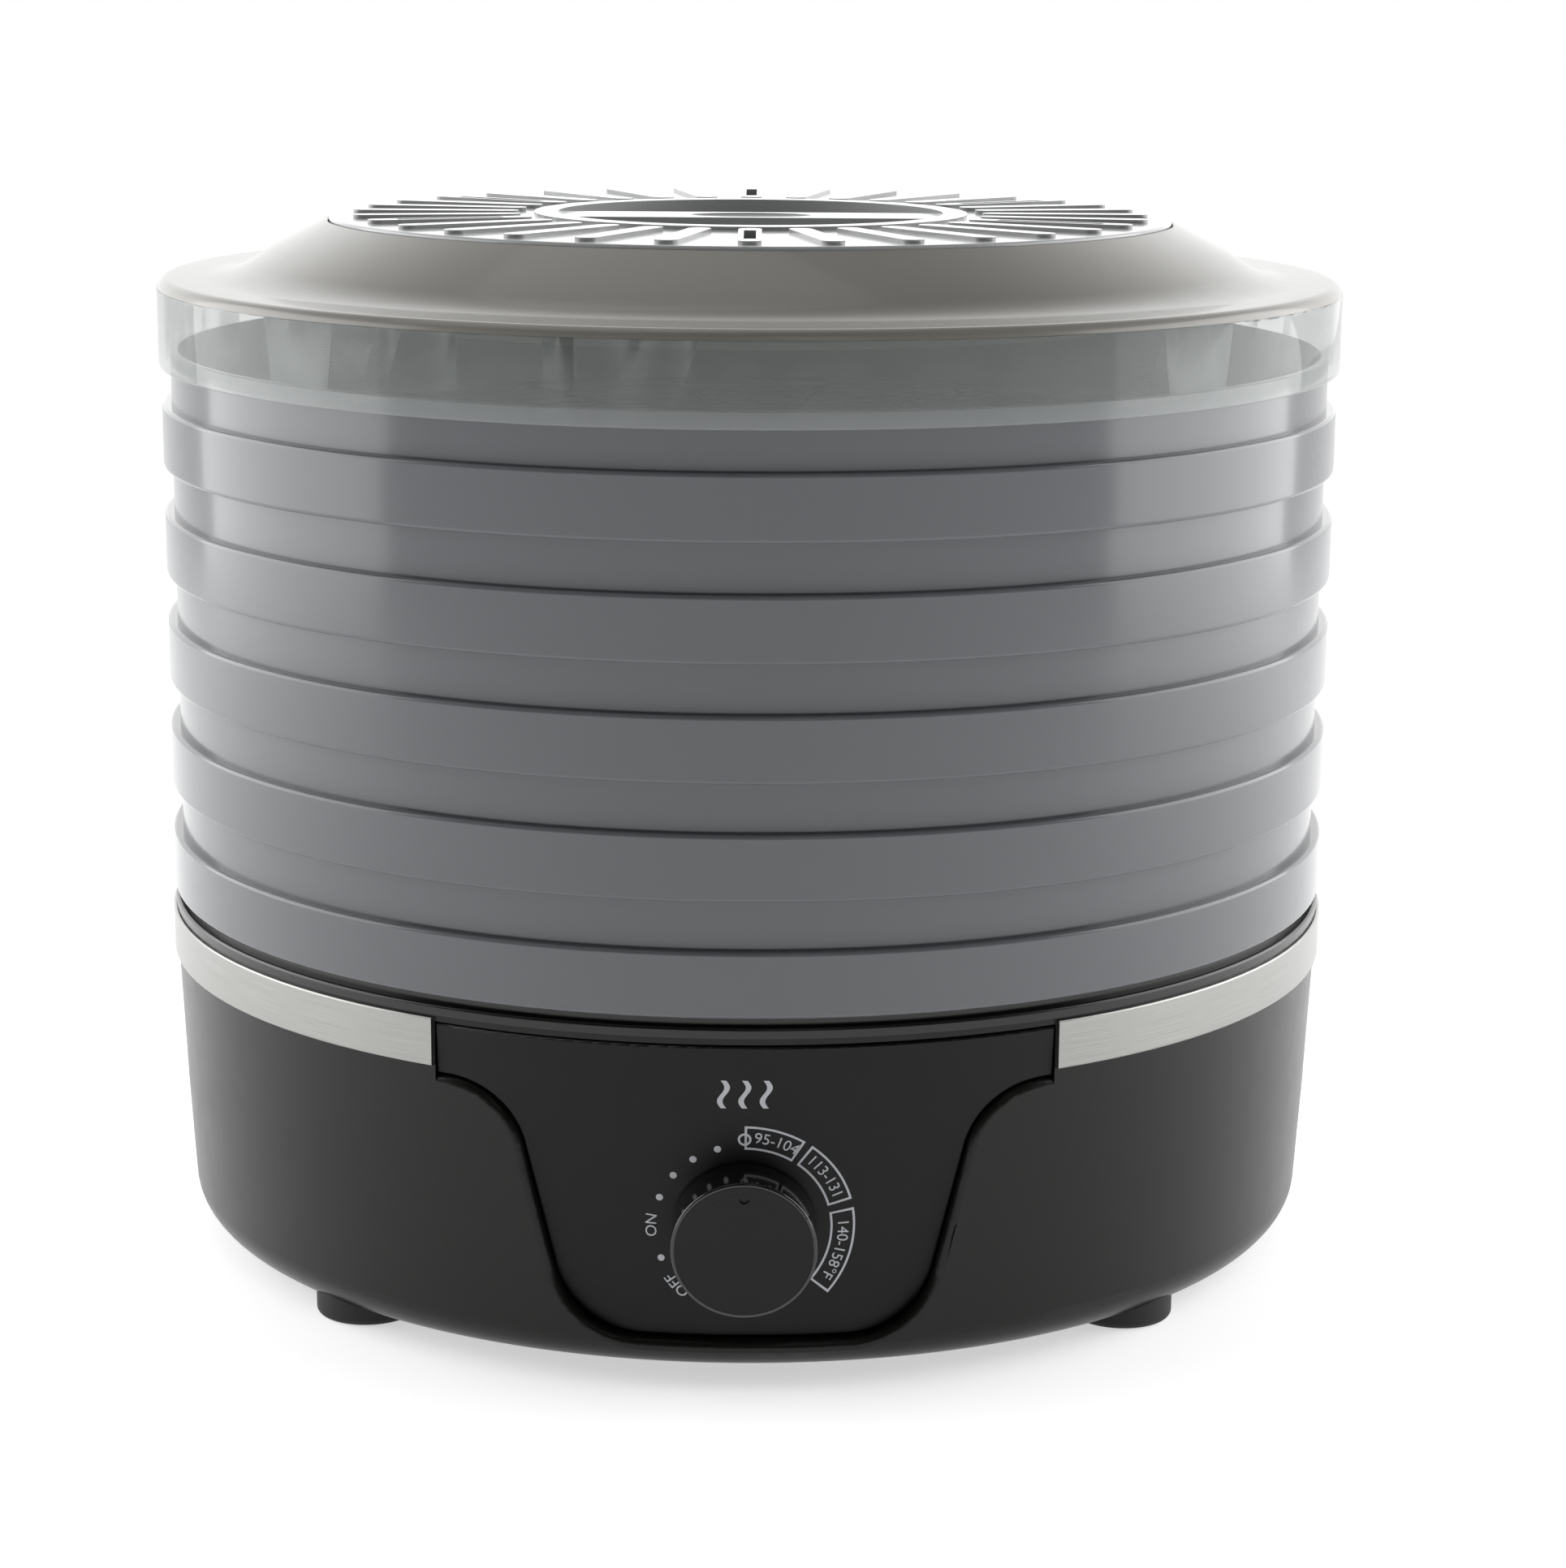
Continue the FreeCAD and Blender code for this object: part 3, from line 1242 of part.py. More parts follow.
def make_trays():
    """Five alike trays; tray_1 is the top one."""
    shape = make_tray_shape()
    for number in range(1, TRAY_COUNT + 1):
        tray = doc.addObject("Part::Compound", f"tray_{number}")
        tray.Label = f"tray_{number}"
        tray.Links = [shape]
        place(tray, 0, 0, stack_bottom + s.trayPitch * (TRAY_COUNT - number))
        keep(tray)


# ---------------------------------------------------------------- lid

def make_lid_cover():
    """Clear skirt, sloping dome with a ledge for the vent plate, and the hanging tabs."""
    body = new_body("lid_cover")
    wall = s.lidWall
    knee = (s.trayRadius - s.domeKneeInset, lid_land + s.domeKneeRise)
    land = (s.trayRadius - s.domeLandInset, lid_land)
    rim = s.plateRadius + s.plateGap
    dome_top = lid_land + s.domeRise
    ledge_inner = s.plateRadius - s.plateLedge
    lean = wall / 2
    revolve(body, [
        (lid_radius - wall, lid_bottom), (lid_radius, lid_bottom), (lid_radius, lid_land), land, knee,
        (rim, dome_top), (rim, plate_bottom), (ledge_inner, plate_bottom), (ledge_inner, plate_bottom - wall),
        (rim + wall, plate_bottom - wall), (knee[0] - lean, knee[1] - wall), (land[0] - lean, land[1] - wall),
        (lid_radius - wall, lid_land - wall),
    ])
    round_rings(body, [(lid_radius, lid_land)], s.lidShoulderRound, "shoulder_round")
    round_rings(body, [land], s.domeLandRound, "land_round")
    round_rings(body, [(lid_radius, lid_bottom)], s.plateEdgeRound, "skirt_round")

    front = neck_outer - s.tabGap
    tabs = sketch_on(body, "XZ_Plane", "tab_outline", front - s.tabThick)
    root = lid_land - wall / 2
    draw_outline(tabs, [(-s.tabFoot / 2, stack_top), (s.tabFoot / 2, stack_top),
                        (s.tabWidth / 2, root), (-s.tabWidth / 2, root)])
    features = [pad(body, tabs, s.tabThick, "tab")]
    inner = s.tabThick / 2 - front
    for number, across in enumerate((-s.tabGusset, s.tabGusset)):
        gusset = sketch_on(body, "YZ_Plane", f"gusset_outline_{number}", across - s.tabGussetThick / 2)
        draw_outline(gusset, [(inner, root), (inner, root - s.tabGussetHeight),
                              (inner + s.tabGussetDepth, root)])
        features.append(pad(body, gusset, s.tabGussetThick, f"gusset_{number}"))
    repeat_around(body, features, LID_TABS, "tabs")
    body.Placement = FreeCAD.Placement(FreeCAD.Vector(0, 0, 0),
                                       FreeCAD.Rotation(FreeCAD.Vector(0, 0, 1), TAB_START))
    doc.recompute()
    return keep(body)


def draw_slot(sketch, inner, outer, width):
    """Round-ended slot along +X."""
    half = width / 2
    start = FreeCAD.Vector(inner.number, 0, 0)
    end = FreeCAD.Vector(outer.number, 0, 0)
    aside = FreeCAD.Vector(0, half.number, 0)
    up = FreeCAD.Vector(0, 0, 1)
    edges = [
        Part.LineSegment(start - aside, end - aside),
        Part.ArcOfCircle(Part.Circle(end, up, half.number), -math.pi / 2, math.pi / 2),
        Part.LineSegment(end + aside, start + aside),
        Part.ArcOfCircle(Part.Circle(start, up, half.number), math.pi / 2, 3 * math.pi / 2),
    ]
    first = sketch.GeometryCount
    sketch.addGeometry(edges, False)
    meet = [(0, 2, 1, 1), (1, 2, 2, 1), (2, 2, 3, 1), (3, 2, 0, 1)]
    for one, one_end, two, two_end in meet:
        sketch.addConstraint(Sketcher.Constraint("Coincident", first + one, one_end, first + two, two_end))
    for line, x, y in ((0, inner, -half), (2, outer, half)):
        tie_point(sketch, first + line, 1, (x, y))
    tie_point(sketch, first, 2, (outer, -half))
    tie_point(sketch, first + 2, 2, (inner, half))
    for arc, x in ((1, outer), (3, inner)):
        constrain(sketch, "DistanceX", (-1, 1, first + arc, 3), x)


def draw_radial_box(sketch, angle, inner, outer, width):
    """Straight opening along a radius at the given angle from +X."""
    angle = as_size(angle)
    corners = []
    for radius, side in ((inner, -1), (outer, -1), (outer, 1), (inner, 1)):
        x = radius * cosine(angle) - width / 2 * side * sine(angle)
        y = radius * sine(angle) + width / 2 * side * cosine(angle)
        corners.append((x, y))
    draw_outline(sketch, corners)


VENT_ANGLES = (-90, 90, -22.5, 202.5, 33.75, 146.25)


def make_vent_plate():
    """Glossy plate of the lid: radial pads, vents, finger well and the grip across it."""
    body = new_body("vent_plate_blank")
    well = s.wellRadius
    well_outer = well + s.wellWall
    well_floor = plate_top - s.wellDepth
    ring = well + s.wellRing
    ring_top = plate_top + s.wellRingRise
    revolve(body, [
        (0, well_floor - s.wellWall), (well_outer, well_floor - s.wellWall), (well_outer, plate_bottom),
        (s.plateRadius, plate_bottom), (s.plateRadius, plate_top), (ring, plate_top), (ring, ring_top),
        (well, ring_top), (well, well_floor), (0, well_floor),
    ])
    round_rings(body, [(s.plateRadius, plate_top)], s.plateEdgeRound, "edge_round")

    pads = sketch_on(body, "XY_Plane", "pad_outline", plate_top)
    draw_slot(pads, s.padInner, s.padOuter, s.padWidth)
    raised = pad(body, pads, s.padRise, "raised_pad")
    repeat_around(body, [raised], s.padCount, "pads")

    vents = sketch_on(body, "XY_Plane", "vent_outline", plate_bottom)
    for angle in VENT_ANGLES:
        draw_radial_box(vents, angle, s.ventInner, s.ventOuter, s.ventWidth)
    pocket(body, vents, s.plateThick + s.padRise, "vents", reverse=True)

    grip_top = ring_top - s.wellRingRise
    grip = sketch_on(body, "XY_Plane", "grip_outline", well_floor)
    draw_box(grip, -well, well, -s.gripWidth / 2, s.gripWidth / 2)
    pad(body, grip, grip_top - well_floor, "grip")
    hollow = sketch_on(body, "XY_Plane", "grip_hollow_outline", well_floor - s.wellWall)
    inner_half = s.gripWidth / 2 - s.gripWall
    draw_box(hollow, 2 * s.gripWall - well, well - 2 * s.gripWall, -inner_half, inner_half)
    pocket(body, hollow, s.wellDepth + s.wellWall - 2 * s.gripWall, "grip_hollow", reverse=True)
    doc.recompute()

    dimple = doc.addObject("Part::Ellipsoid", "grip_dimple")
    bind(dimple, Radius1=s.gripDimpleDepth, Radius2=s.gripDimpleLength / 2, Radius3=s.gripDimpleWidth / 2)
    place(dimple, 0, 0, grip_top)
    return keep(boolean("Part::Cut", "vent_plate", [body, dimple]))


# ---------------------------------------------------------------- build and write

def check_document():
    """Stop if any object failed or any finished piece is empty or invalid."""
    doc.recompute()
    for item in doc.Objects:
        if "Invalid" in item.State or "Error" in item.State:
            raise RuntimeError(f"{item.Label} failed: {item.State}")
    for piece in finished:
        if piece.Shape.isNull() or not piece.Shape.isValid():
            raise RuntimeError(f"{piece.Label} has no valid shape")
        if not piece.Shape.Solids:
            raise RuntimeError(f"{piece.Label} has no solid")


def write_parts():
    os.makedirs("parts", exist_ok=True)
    for piece in finished:
        piece.Shape.exportStep(f"parts/{piece.Label}.step")
        print(f"{piece.Label}: {len(piece.Shape.Solids)} solid(s), {piece.Shape.Volume / 1000:.1f} cm3")


def main():
    envelope = make_envelope()
    make_base_shell(envelope)
    make_top_deck()
    make_outlet_grille()
    make_trim_band()
    make_control_panel()
    make_feet(envelope)
    make_deck_screws()
    make_knob()
    make_thermostat()
    make_motor()
    make_fan()
    make_duct()
    make_heater()
    make_mains_entry()
    make_trays()
    make_lid_cover()
    make_vent_plate()
    check_document()
    write_parts()


main()
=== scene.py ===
import json
import math

import bpy
from mathutils import Euler, Matrix, Vector

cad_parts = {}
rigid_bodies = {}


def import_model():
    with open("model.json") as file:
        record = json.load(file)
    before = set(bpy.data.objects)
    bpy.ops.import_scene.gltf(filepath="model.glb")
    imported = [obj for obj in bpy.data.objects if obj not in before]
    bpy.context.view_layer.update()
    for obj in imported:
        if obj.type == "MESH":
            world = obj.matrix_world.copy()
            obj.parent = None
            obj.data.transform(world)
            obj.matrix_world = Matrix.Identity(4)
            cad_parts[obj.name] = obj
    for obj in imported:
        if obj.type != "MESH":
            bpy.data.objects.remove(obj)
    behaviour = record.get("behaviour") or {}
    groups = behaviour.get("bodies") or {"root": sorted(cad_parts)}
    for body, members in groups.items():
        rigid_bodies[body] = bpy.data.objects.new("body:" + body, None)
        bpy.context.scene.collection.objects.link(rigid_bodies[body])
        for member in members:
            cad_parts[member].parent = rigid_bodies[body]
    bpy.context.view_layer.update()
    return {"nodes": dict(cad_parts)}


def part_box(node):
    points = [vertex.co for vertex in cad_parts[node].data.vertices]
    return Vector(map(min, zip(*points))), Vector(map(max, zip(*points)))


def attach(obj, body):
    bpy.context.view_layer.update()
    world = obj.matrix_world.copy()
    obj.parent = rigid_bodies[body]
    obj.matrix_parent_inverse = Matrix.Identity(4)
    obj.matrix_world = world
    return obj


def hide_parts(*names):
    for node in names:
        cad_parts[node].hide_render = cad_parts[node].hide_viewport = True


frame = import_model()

bl_info = {
    "name": "Food dehydrator looks",
    "version": (1, 0, 0),
    "blender": (4, 5, 0),
    "location": "View3D > Sidebar > Dehydrator",
    "description": "Finishes, dial print and studio for the stacking food dehydrator",
    "category": "Object",
}

MM = 0.001
CLOCK = math.radians(1)


# ---------------------------------------------------------------- places taken from the frame

def box_mm(node):
    """Lowest and highest corner of a CAD node, in millimetres."""
    low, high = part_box(node)
    return low / MM, high / MM


PANEL_LOW, PANEL_HIGH = box_mm("control_panel")
BAND_LOW, BAND_HIGH = box_mm("trim_band")
LID_LOW, LID_HIGH = box_mm("lid_cover")
PLATE_LOW, PLATE_HIGH = box_mm("vent_plate")
PANEL_TILT = math.radians(6)
PANEL_TOP_RADIUS = 145.0
DIAL_HEIGHT = 38.3
DIAL_RADIUS = PANEL_TOP_RADIUS - (PANEL_HIGH.z - DIAL_HEIGHT) * math.tan(PANEL_TILT)


def on_panel(across, up, proud=0.0):
    """Point on the cone of the control panel, from distances along it measured at the dial."""
    height = DIAL_HEIGHT + up * math.cos(PANEL_TILT)
    radius = DIAL_RADIUS + up * math.sin(PANEL_TILT) + proud * math.cos(PANEL_TILT)
    turn = across / DIAL_RADIUS
    height -= proud * math.sin(PANEL_TILT)
    return Vector((radius * math.sin(turn), -radius * math.cos(turn), height)) * MM


# ---------------------------------------------------------------- settings

class DehydratorLook(bpy.types.PropertyGroup):
    """Colours and sizes that a user may change."""

    tray_colour: bpy.props.FloatVectorProperty(
        name="Trays", description="Smoky plastic of the trays", subtype="COLOR", size=3,
        default=(0.118, 0.123, 0.133), min=0, max=1)
    dome_colour: bpy.props.FloatVectorProperty(
        name="Dome", description="Frosted plastic of the lid's slope", subtype="COLOR", size=3,
        default=(0.20, 0.193, 0.170), min=0, max=1)
    window_colour: bpy.props.FloatVectorProperty(
        name="Window", description="Clear plastic of the lid's skirt", subtype="COLOR", size=3,
        default=(0.62, 0.66, 0.64), min=0, max=1)
    plate_colour: bpy.props.FloatVectorProperty(
        name="Vent plate", description="Grey plastic of the vent plate", subtype="COLOR", size=3,
        default=(0.42, 0.43, 0.425), min=0, max=1)
    shell_colour: bpy.props.FloatVectorProperty(
        name="Base", description="Black plastic of the base", subtype="COLOR", size=3,
        default=(0.0045, 0.0044, 0.0037), min=0, max=1)
    panel_colour: bpy.props.FloatVectorProperty(
        name="Panel", description="Blue-black plastic of the control panel", subtype="COLOR", size=3,
        default=(0.0045, 0.0047, 0.0050), min=0, max=1)
    print_colour: bpy.props.FloatVectorProperty(
        name="Print", description="Silver ink of the dial", subtype="COLOR", size=3,
        default=(0.50, 0.51, 0.54), min=0, max=1)
    floor_colour: bpy.props.FloatVectorProperty(
        name="Floor", description="Pale floor", subtype="COLOR", size=3,
        default=(0.93, 0.93, 0.93), min=0, max=1)
    stroke: bpy.props.FloatProperty(
        name="Print stroke", description="Line width of the dial print", unit="LENGTH",
        default=0.5 * MM, min=0.1 * MM, max=2 * MM)
    dot_radius: bpy.props.FloatProperty(
        name="Dot radius", description="Radius of the dots round the dial", unit="LENGTH",
        default=0.8 * MM, min=0.1 * MM, max=3 * MM)
    numeral_height: bpy.props.FloatProperty(
        name="Numerals", description="Letter size of the dial print", unit="LENGTH",
        default=3.6 * MM, min=1 * MM, max=8 * MM)
    ink_thickness: bpy.props.FloatProperty(
        name="Ink", description="Thickness of the printed ink", unit="LENGTH",
        default=0.03 * MM, min=0.005 * MM, max=0.5 * MM)


def look():
    return bpy.context.scene.dehydrator_look


# ---------------------------------------------------------------- modelling helpers

def clear_selection():
    if bpy.context.object and bpy.context.object.mode != "OBJECT":
        bpy.ops.object.mode_set(mode="OBJECT")
    bpy.ops.object.select_all(action="DESELECT")


def only(piece):
    """Make one object the selected and active one."""
    clear_selection()
    piece.select_set(True)
    bpy.context.view_layer.objects.active = piece
    return piece


def apply_place(piece):
    only(piece)
    bpy.ops.object.transform_apply(location=True, rotation=True, scale=True)
    return piece


def apply_modifiers(piece):
    only(piece)
    for name in [modifier.name for modifier in piece.modifiers]:
        bpy.ops.object.modifier_apply(modifier=name)
    return piece


def clean(piece):
    """Merge doubles and turn every face outwards."""
    only(piece)
    bpy.ops.object.mode_set(mode="EDIT")
    bpy.ops.mesh.select_all(action="SELECT")
    bpy.ops.mesh.remove_doubles(threshold=0.002 * MM)
    bpy.ops.mesh.normals_make_consistent(inside=False)
    bpy.ops.object.mode_set(mode="OBJECT")
    return piece


def joined(name, pieces):
    clear_selection()
    for piece in pieces:
        piece.select_set(True)
    bpy.context.view_layer.objects.active = pieces[0]
    bpy.ops.object.join()
    whole = bpy.context.object
    whole.name = name
    whole.data.name = name
    return whole


def flat_dot(radius, sides=20):
    clear_selection()
    bpy.ops.mesh.primitive_circle_add(vertices=sides, radius=radius, fill_type="NGON")
    return bpy.context.object


def flat_ring(radius, stroke, sides=28):
    """Circle of a given line width."""
    dot = flat_dot(radius + stroke / 2, sides)
    bpy.ops.object.mode_set(mode="EDIT")
    bpy.ops.mesh.select_all(action="SELECT")
    bpy.ops.mesh.inset(thickness=stroke)
    bpy.ops.mesh.delete(type="FACE")
    bpy.ops.object.mode_set(mode="OBJECT")
    return dot


def flat_strip(width, height, across, up):
    """Flat rectangle of across by up cells, centred."""
    clear_selection()
    bpy.ops.mesh.primitive_grid_add(x_subdivisions=across, y_subdivisions=up, size=1)
    strip = bpy.context.object
    strip.scale = (width, height, 1)
    return apply_place(strip)


def flat_frame(width, height, stroke, across):
    """Outline of a rectangle."""
    strip = flat_strip(width, height, across, 2)
    bpy.ops.object.mode_set(mode="EDIT")
    bpy.ops.mesh.select_all(action="SELECT")
    bpy.ops.mesh.inset(thickness=stroke)
    bpy.ops.mesh.delete(type="FACE")
    bpy.ops.object.mode_set(mode="OBJECT")
    return strip


def flat_words(words, size):
    """Lettering as a flat mesh, centred."""
    clear_selection()
    bpy.ops.object.text_add()
    text = bpy.context.object
    text.data.body = words
    text.data.size = size
    text.data.align_x = "CENTER"
    text.data.align_y = "CENTER"
    text.data.resolution_u = 4
    bpy.ops.object.convert(target="MESH")
    return apply_place(bpy.context.object)


def lay_round_dial(piece, angle, radius, proud):
    """Wrap a flat piece round the dial, clockwise from the top, and lay it on the panel."""
    for vertex in piece.data.vertices:
        x, y = vertex.co.x / MM, vertex.co.y / MM
        turn = angle * CLOCK + x / radius
        far = radius + y
        vertex.co = on_panel(far * math.sin(turn), far * math.cos(turn), proud)
    return piece


def lay_on_panel(piece, across, up, proud):
    for vertex in piece.data.vertices:
        vertex.co = on_panel(across + vertex.co.x / MM, up + vertex.co.y / MM, proud)
    return piece


def ink(piece):
    """Give flat print its thickness, outwards from the panel."""
    only(piece)
    bpy.ops.object.mode_set(mode="EDIT")
    bpy.ops.mesh.select_all(action="SELECT")
    bpy.ops.mesh.remove_doubles(threshold=0.002 * MM)
    bpy.ops.object.mode_set(mode="OBJECT")
    bpy.ops.object.modifier_add(type="SOLIDIFY")
    piece.modifiers[-1].thickness = look().ink_thickness
    piece.modifiers[-1].offset = 0
    return apply_modifiers(piece)


# ---------------------------------------------------------------- node groups

def new_group(name, inputs, outputs):
    """Shader node group with (name, kind, default) inputs and (name, kind) outputs."""
    group = bpy.data.node_groups.new(name, "ShaderNodeTree")
    for title, kind, default in inputs:
        socket = group.interface.new_socket(title, in_out="INPUT", socket_type=kind)
        if default is not None:
            socket.default_value = default
    for title, kind in outputs:
        group.interface.new_socket(title, in_out="OUTPUT", socket_type=kind)
    return group, group.nodes.new("NodeGroupInput"), group.nodes.new("NodeGroupOutput")


def math_node(tree, operation, first, second):
    node = tree.nodes.new("ShaderNodeMath")
    node.operation = operation
    for socket, value in zip(node.inputs, (first, second)):
        if isinstance(value, bpy.types.NodeSocket):
            tree.links.new(value, socket)
        else:
            socket.default_value = value
    return node.outputs[0]


def noise(tree, vector, scale, detail=3.0):
    node = tree.nodes.new("ShaderNodeTexNoise")
    node.inputs["Detail"].default_value = detail
    tree.links.new(vector, node.inputs["Vector"])
    if isinstance(scale, bpy.types.NodeSocket):
        tree.links.new(scale, node.inputs["Scale"])
    else:
        node.inputs["Scale"].default_value = scale
    return node.outputs["Fac"]


def surface_group():
    """Moulded surface: cloudy colour, fine grain and handling marks in the gloss."""
    group, given, made = new_group("moulded_surface", [
        ("Vector", "NodeSocketVector", None),
        ("Colour", "NodeSocketColor", (0.5, 0.5, 0.5, 1)),
        ("Roughness", "NodeSocketFloat", 0.4),
        ("Cloud", "NodeSocketFloat", 0.1),
        ("Grain scale", "NodeSocketFloat", 2500.0),
        ("Marks", "NodeSocketFloat", 0.2),
    ], [("Colour", "NodeSocketColor"), ("Roughness", "NodeSocketFloat"), ("Height", "NodeSocketFloat")])
    vector = given.outputs["Vector"]
    cloud = noise(group, vector, 22.0, 4.0)
    marks = noise(group, vector, 140.0, 6.0)
    grain = noise(group, vector, given.outputs["Grain scale"], 2.0)
    tone = group.nodes.new("ShaderNodeVectorMath")
    tone.operation = "SCALE"
    group.links.new(given.outputs["Colour"], tone.inputs[0])
    shade = math_node(group, "ADD", math_node(group, "MULTIPLY", math_node(group, "SUBTRACT", cloud, 0.5),
                                              given.outputs["Cloud"]), 1.0)
    group.links.new(shade, tone.inputs["Scale"])
    group.links.new(tone.outputs[0], made.inputs["Colour"])
    rough = math_node(group, "ADD", math_node(group, "MULTIPLY", math_node(group, "SUBTRACT", marks, 0.5),
                                              given.outputs["Marks"]), 1.0)
    group.links.new(math_node(group, "MULTIPLY", rough, given.outputs["Roughness"]), made.inputs["Roughness"])
    group.links.new(grain, made.inputs["Height"])
    return group


def brushed_group():
    """Fine lines round the vertical axis, as on a brushed steel strip."""
    group, given, made = new_group("brushed_round", [
        ("Vector", "NodeSocketVector", None),
        ("Colour", "NodeSocketColor", (0.6, 0.6, 0.6, 1)),
        ("Roughness", "NodeSocketFloat", 0.3),
        ("Contrast", "NodeSocketFloat", 0.3),
    ], [("Colour", "NodeSocketColor"), ("Roughness", "NodeSocketFloat"), ("Height", "NodeSocketFloat")])
    split = group.nodes.new("ShaderNodeSeparateXYZ")
    group.links.new(given.outputs["Vector"], split.inputs[0])
    angle = math_node(group, "ARCTAN2", split.outputs["X"], split.outputs["Y"])
    packed = group.nodes.new("ShaderNodeCombineXYZ")
    group.links.new(math_node(group, "MULTIPLY", angle, 6.0), packed.inputs["X"])
    group.links.new(math_node(group, "MULTIPLY", split.outputs["Z"], 9000.0), packed.inputs["Y"])
    lines = noise(group, packed.outputs[0], 1.0, 4.0)
    tone = group.nodes.new("ShaderNodeVectorMath")
    tone.operation = "SCALE"
    group.links.new(given.outputs["Colour"], tone.inputs[0])
    swing = math_node(group, "MULTIPLY", math_node(group, "SUBTRACT", lines, 0.5), given.outputs["Contrast"])
    group.links.new(math_node(group, "ADD", swing, 1.0), tone.inputs["Scale"])
    group.links.new(tone.outputs[0], made.inputs["Colour"])
    group.links.new(math_node(group, "MULTIPLY", math_node(group, "ADD", swing, 1.0),
                              given.outputs["Roughness"]), made.inputs["Roughness"])
    group.links.new(lines, made.inputs["Height"])
    return group


def spun_group():
    """Concentric cutting lines round the local Z axis."""
    group, given, made = new_group("spun_face", [
        ("Vector", "NodeSocketVector", None),
        ("Colour", "NodeSocketColor", (0.02, 0.02, 0.02, 1)),
        ("Roughness", "NodeSocketFloat", 0.3),
        ("Lines", "NodeSocketFloat", 6000.0),
    ], [("Colour", "NodeSocketColor"), ("Roughness", "NodeSocketFloat"), ("Height", "NodeSocketFloat")])
    split = group.nodes.new("ShaderNodeSeparateXYZ")
    group.links.new(given.outputs["Vector"], split.inputs[0])
    square = math_node(group, "ADD", math_node(group, "MULTIPLY", split.outputs["X"], split.outputs["X"]),
                       math_node(group, "MULTIPLY", split.outputs["Y"], split.outputs["Y"]))
    radius = math_node(group, "SQRT", square, 0.5)
    packed = group.nodes.new("ShaderNodeCombineXYZ")
    group.links.new(math_node(group, "MULTIPLY", radius, given.outputs["Lines"]), packed.inputs["X"])
    lines = noise(group, packed.outputs[0], 1.0, 2.0)
    tone = group.nodes.new("ShaderNodeVectorMath")
    tone.operation = "SCALE"
    group.links.new(given.outputs["Colour"], tone.inputs[0])
    group.links.new(math_node(group, "ADD", lines, 0.5), tone.inputs["Scale"])
    group.links.new(tone.outputs[0], made.inputs["Colour"])
    group.links.new(math_node(group, "MULTIPLY", math_node(group, "ADD", lines, 0.5),
                              given.outputs["Roughness"]), made.inputs["Roughness"])
    group.links.new(lines, made.inputs["Height"])
    return group


GROUPS = {}


def group_named(name):
    makers = {"moulded": surface_group, "brushed": brushed_group, "spun": spun_group}
    if name not in GROUPS:
        GROUPS[name] = makers[name]()
    return GROUPS[name]


# ---------------------------------------------------------------- finishes

def new_material(name):
    material = bpy.data.materials.new(name)
    material.use_nodes = True
    tree = material.node_tree
    shader = tree.nodes["Principled BSDF"]
    place = tree.nodes.new("ShaderNodeTexCoord")
    return material, tree, shader, place.outputs["Object"]


def mapped(tree, vector, matrix):
    """Coordinates in a frame whose place and turn are given by a matrix."""
    node = tree.nodes.new("ShaderNodeMapping")
    node.vector_type = "TEXTURE"
    node.inputs["Location"].default_value = matrix.to_translation()
    node.inputs["Rotation"].default_value = matrix.to_euler()
    tree.links.new(vector, node.inputs["Vector"])
    return node.outputs["Vector"]


def finish_with(tree, shader, group, vector, values, depth, strength):
    """Place a surface group in a material and lead its results into the shader."""
    node = tree.nodes.new("ShaderNodeGroup")
    node.node_tree = group
    tree.links.new(vector, node.inputs["Vector"])
    for name, value in values.items():
        node.inputs[name].default_value = value
    tree.links.new(node.outputs["Colour"], shader.inputs["Base Color"])
    tree.links.new(node.outputs["Roughness"], shader.inputs["Roughness"])
    bump = tree.nodes.new("ShaderNodeBump")
    bump.inputs["Strength"].default_value = strength
    bump.inputs["Distance"].default_value = depth
    tree.links.new(node.outputs["Height"], bump.inputs["Height"])
    tree.links.new(bump.outputs["Normal"], shader.inputs["Normal"])
    return node


def plastic(name, colour, roughness, grain=2500.0, cloud=0.08, marks=0.25, depth=0.01 * MM,
            strength=0.3, coat=0.0, metallic=0.0, shine=0.5):
    material, tree, shader, vector = new_material(name)
    values = {"Colour": (*colour, 1), "Roughness": roughness, "Cloud": cloud, "Grain scale": grain,
              "Marks": marks}
    finish_with(tree, shader, group_named("moulded"), vector, values, depth, strength)
    shader.inputs["Metallic"].default_value = metallic
    shader.inputs["Specular IOR Level"].default_value = shine
    shader.inputs["Coat Weight"].default_value = coat
    shader.inputs["Coat Roughness"].default_value = 0.08
    return material


def brushed_metal(name, colour, roughness, contrast):
    material, tree, shader, vector = new_material(name)
    values = {"Colour": (*colour, 1), "Roughness": roughness, "Contrast": contrast}
    finish_with(tree, shader, group_named("brushed"), vector, values, 0.01 * MM, 0.35)
    shader.inputs["Metallic"].default_value = 1.0
    return material


def dial_frame():
    """Place and turn of the dial: local Z leaves the panel."""
    turn = Euler((math.pi / 2 + PANEL_TILT, 0, 0)).to_matrix().to_4x4()
    return Matrix.Translation(Vector((0, -DIAL_RADIUS, DIAL_HEIGHT)) * MM) @ turn


def spun_metal(name, colour, roughness):
    material, tree, shader, vector = new_material(name)
    values = {"Colour": (*colour, 1), "Roughness": roughness, "Lines": 9000.0}
    finish_with(tree, shader, group_named("spun"), mapped(tree, vector, dial_frame()), values,
                0.05 * MM, 1.0)
    shader.inputs["Metallic"].default_value = 1.0
    return material


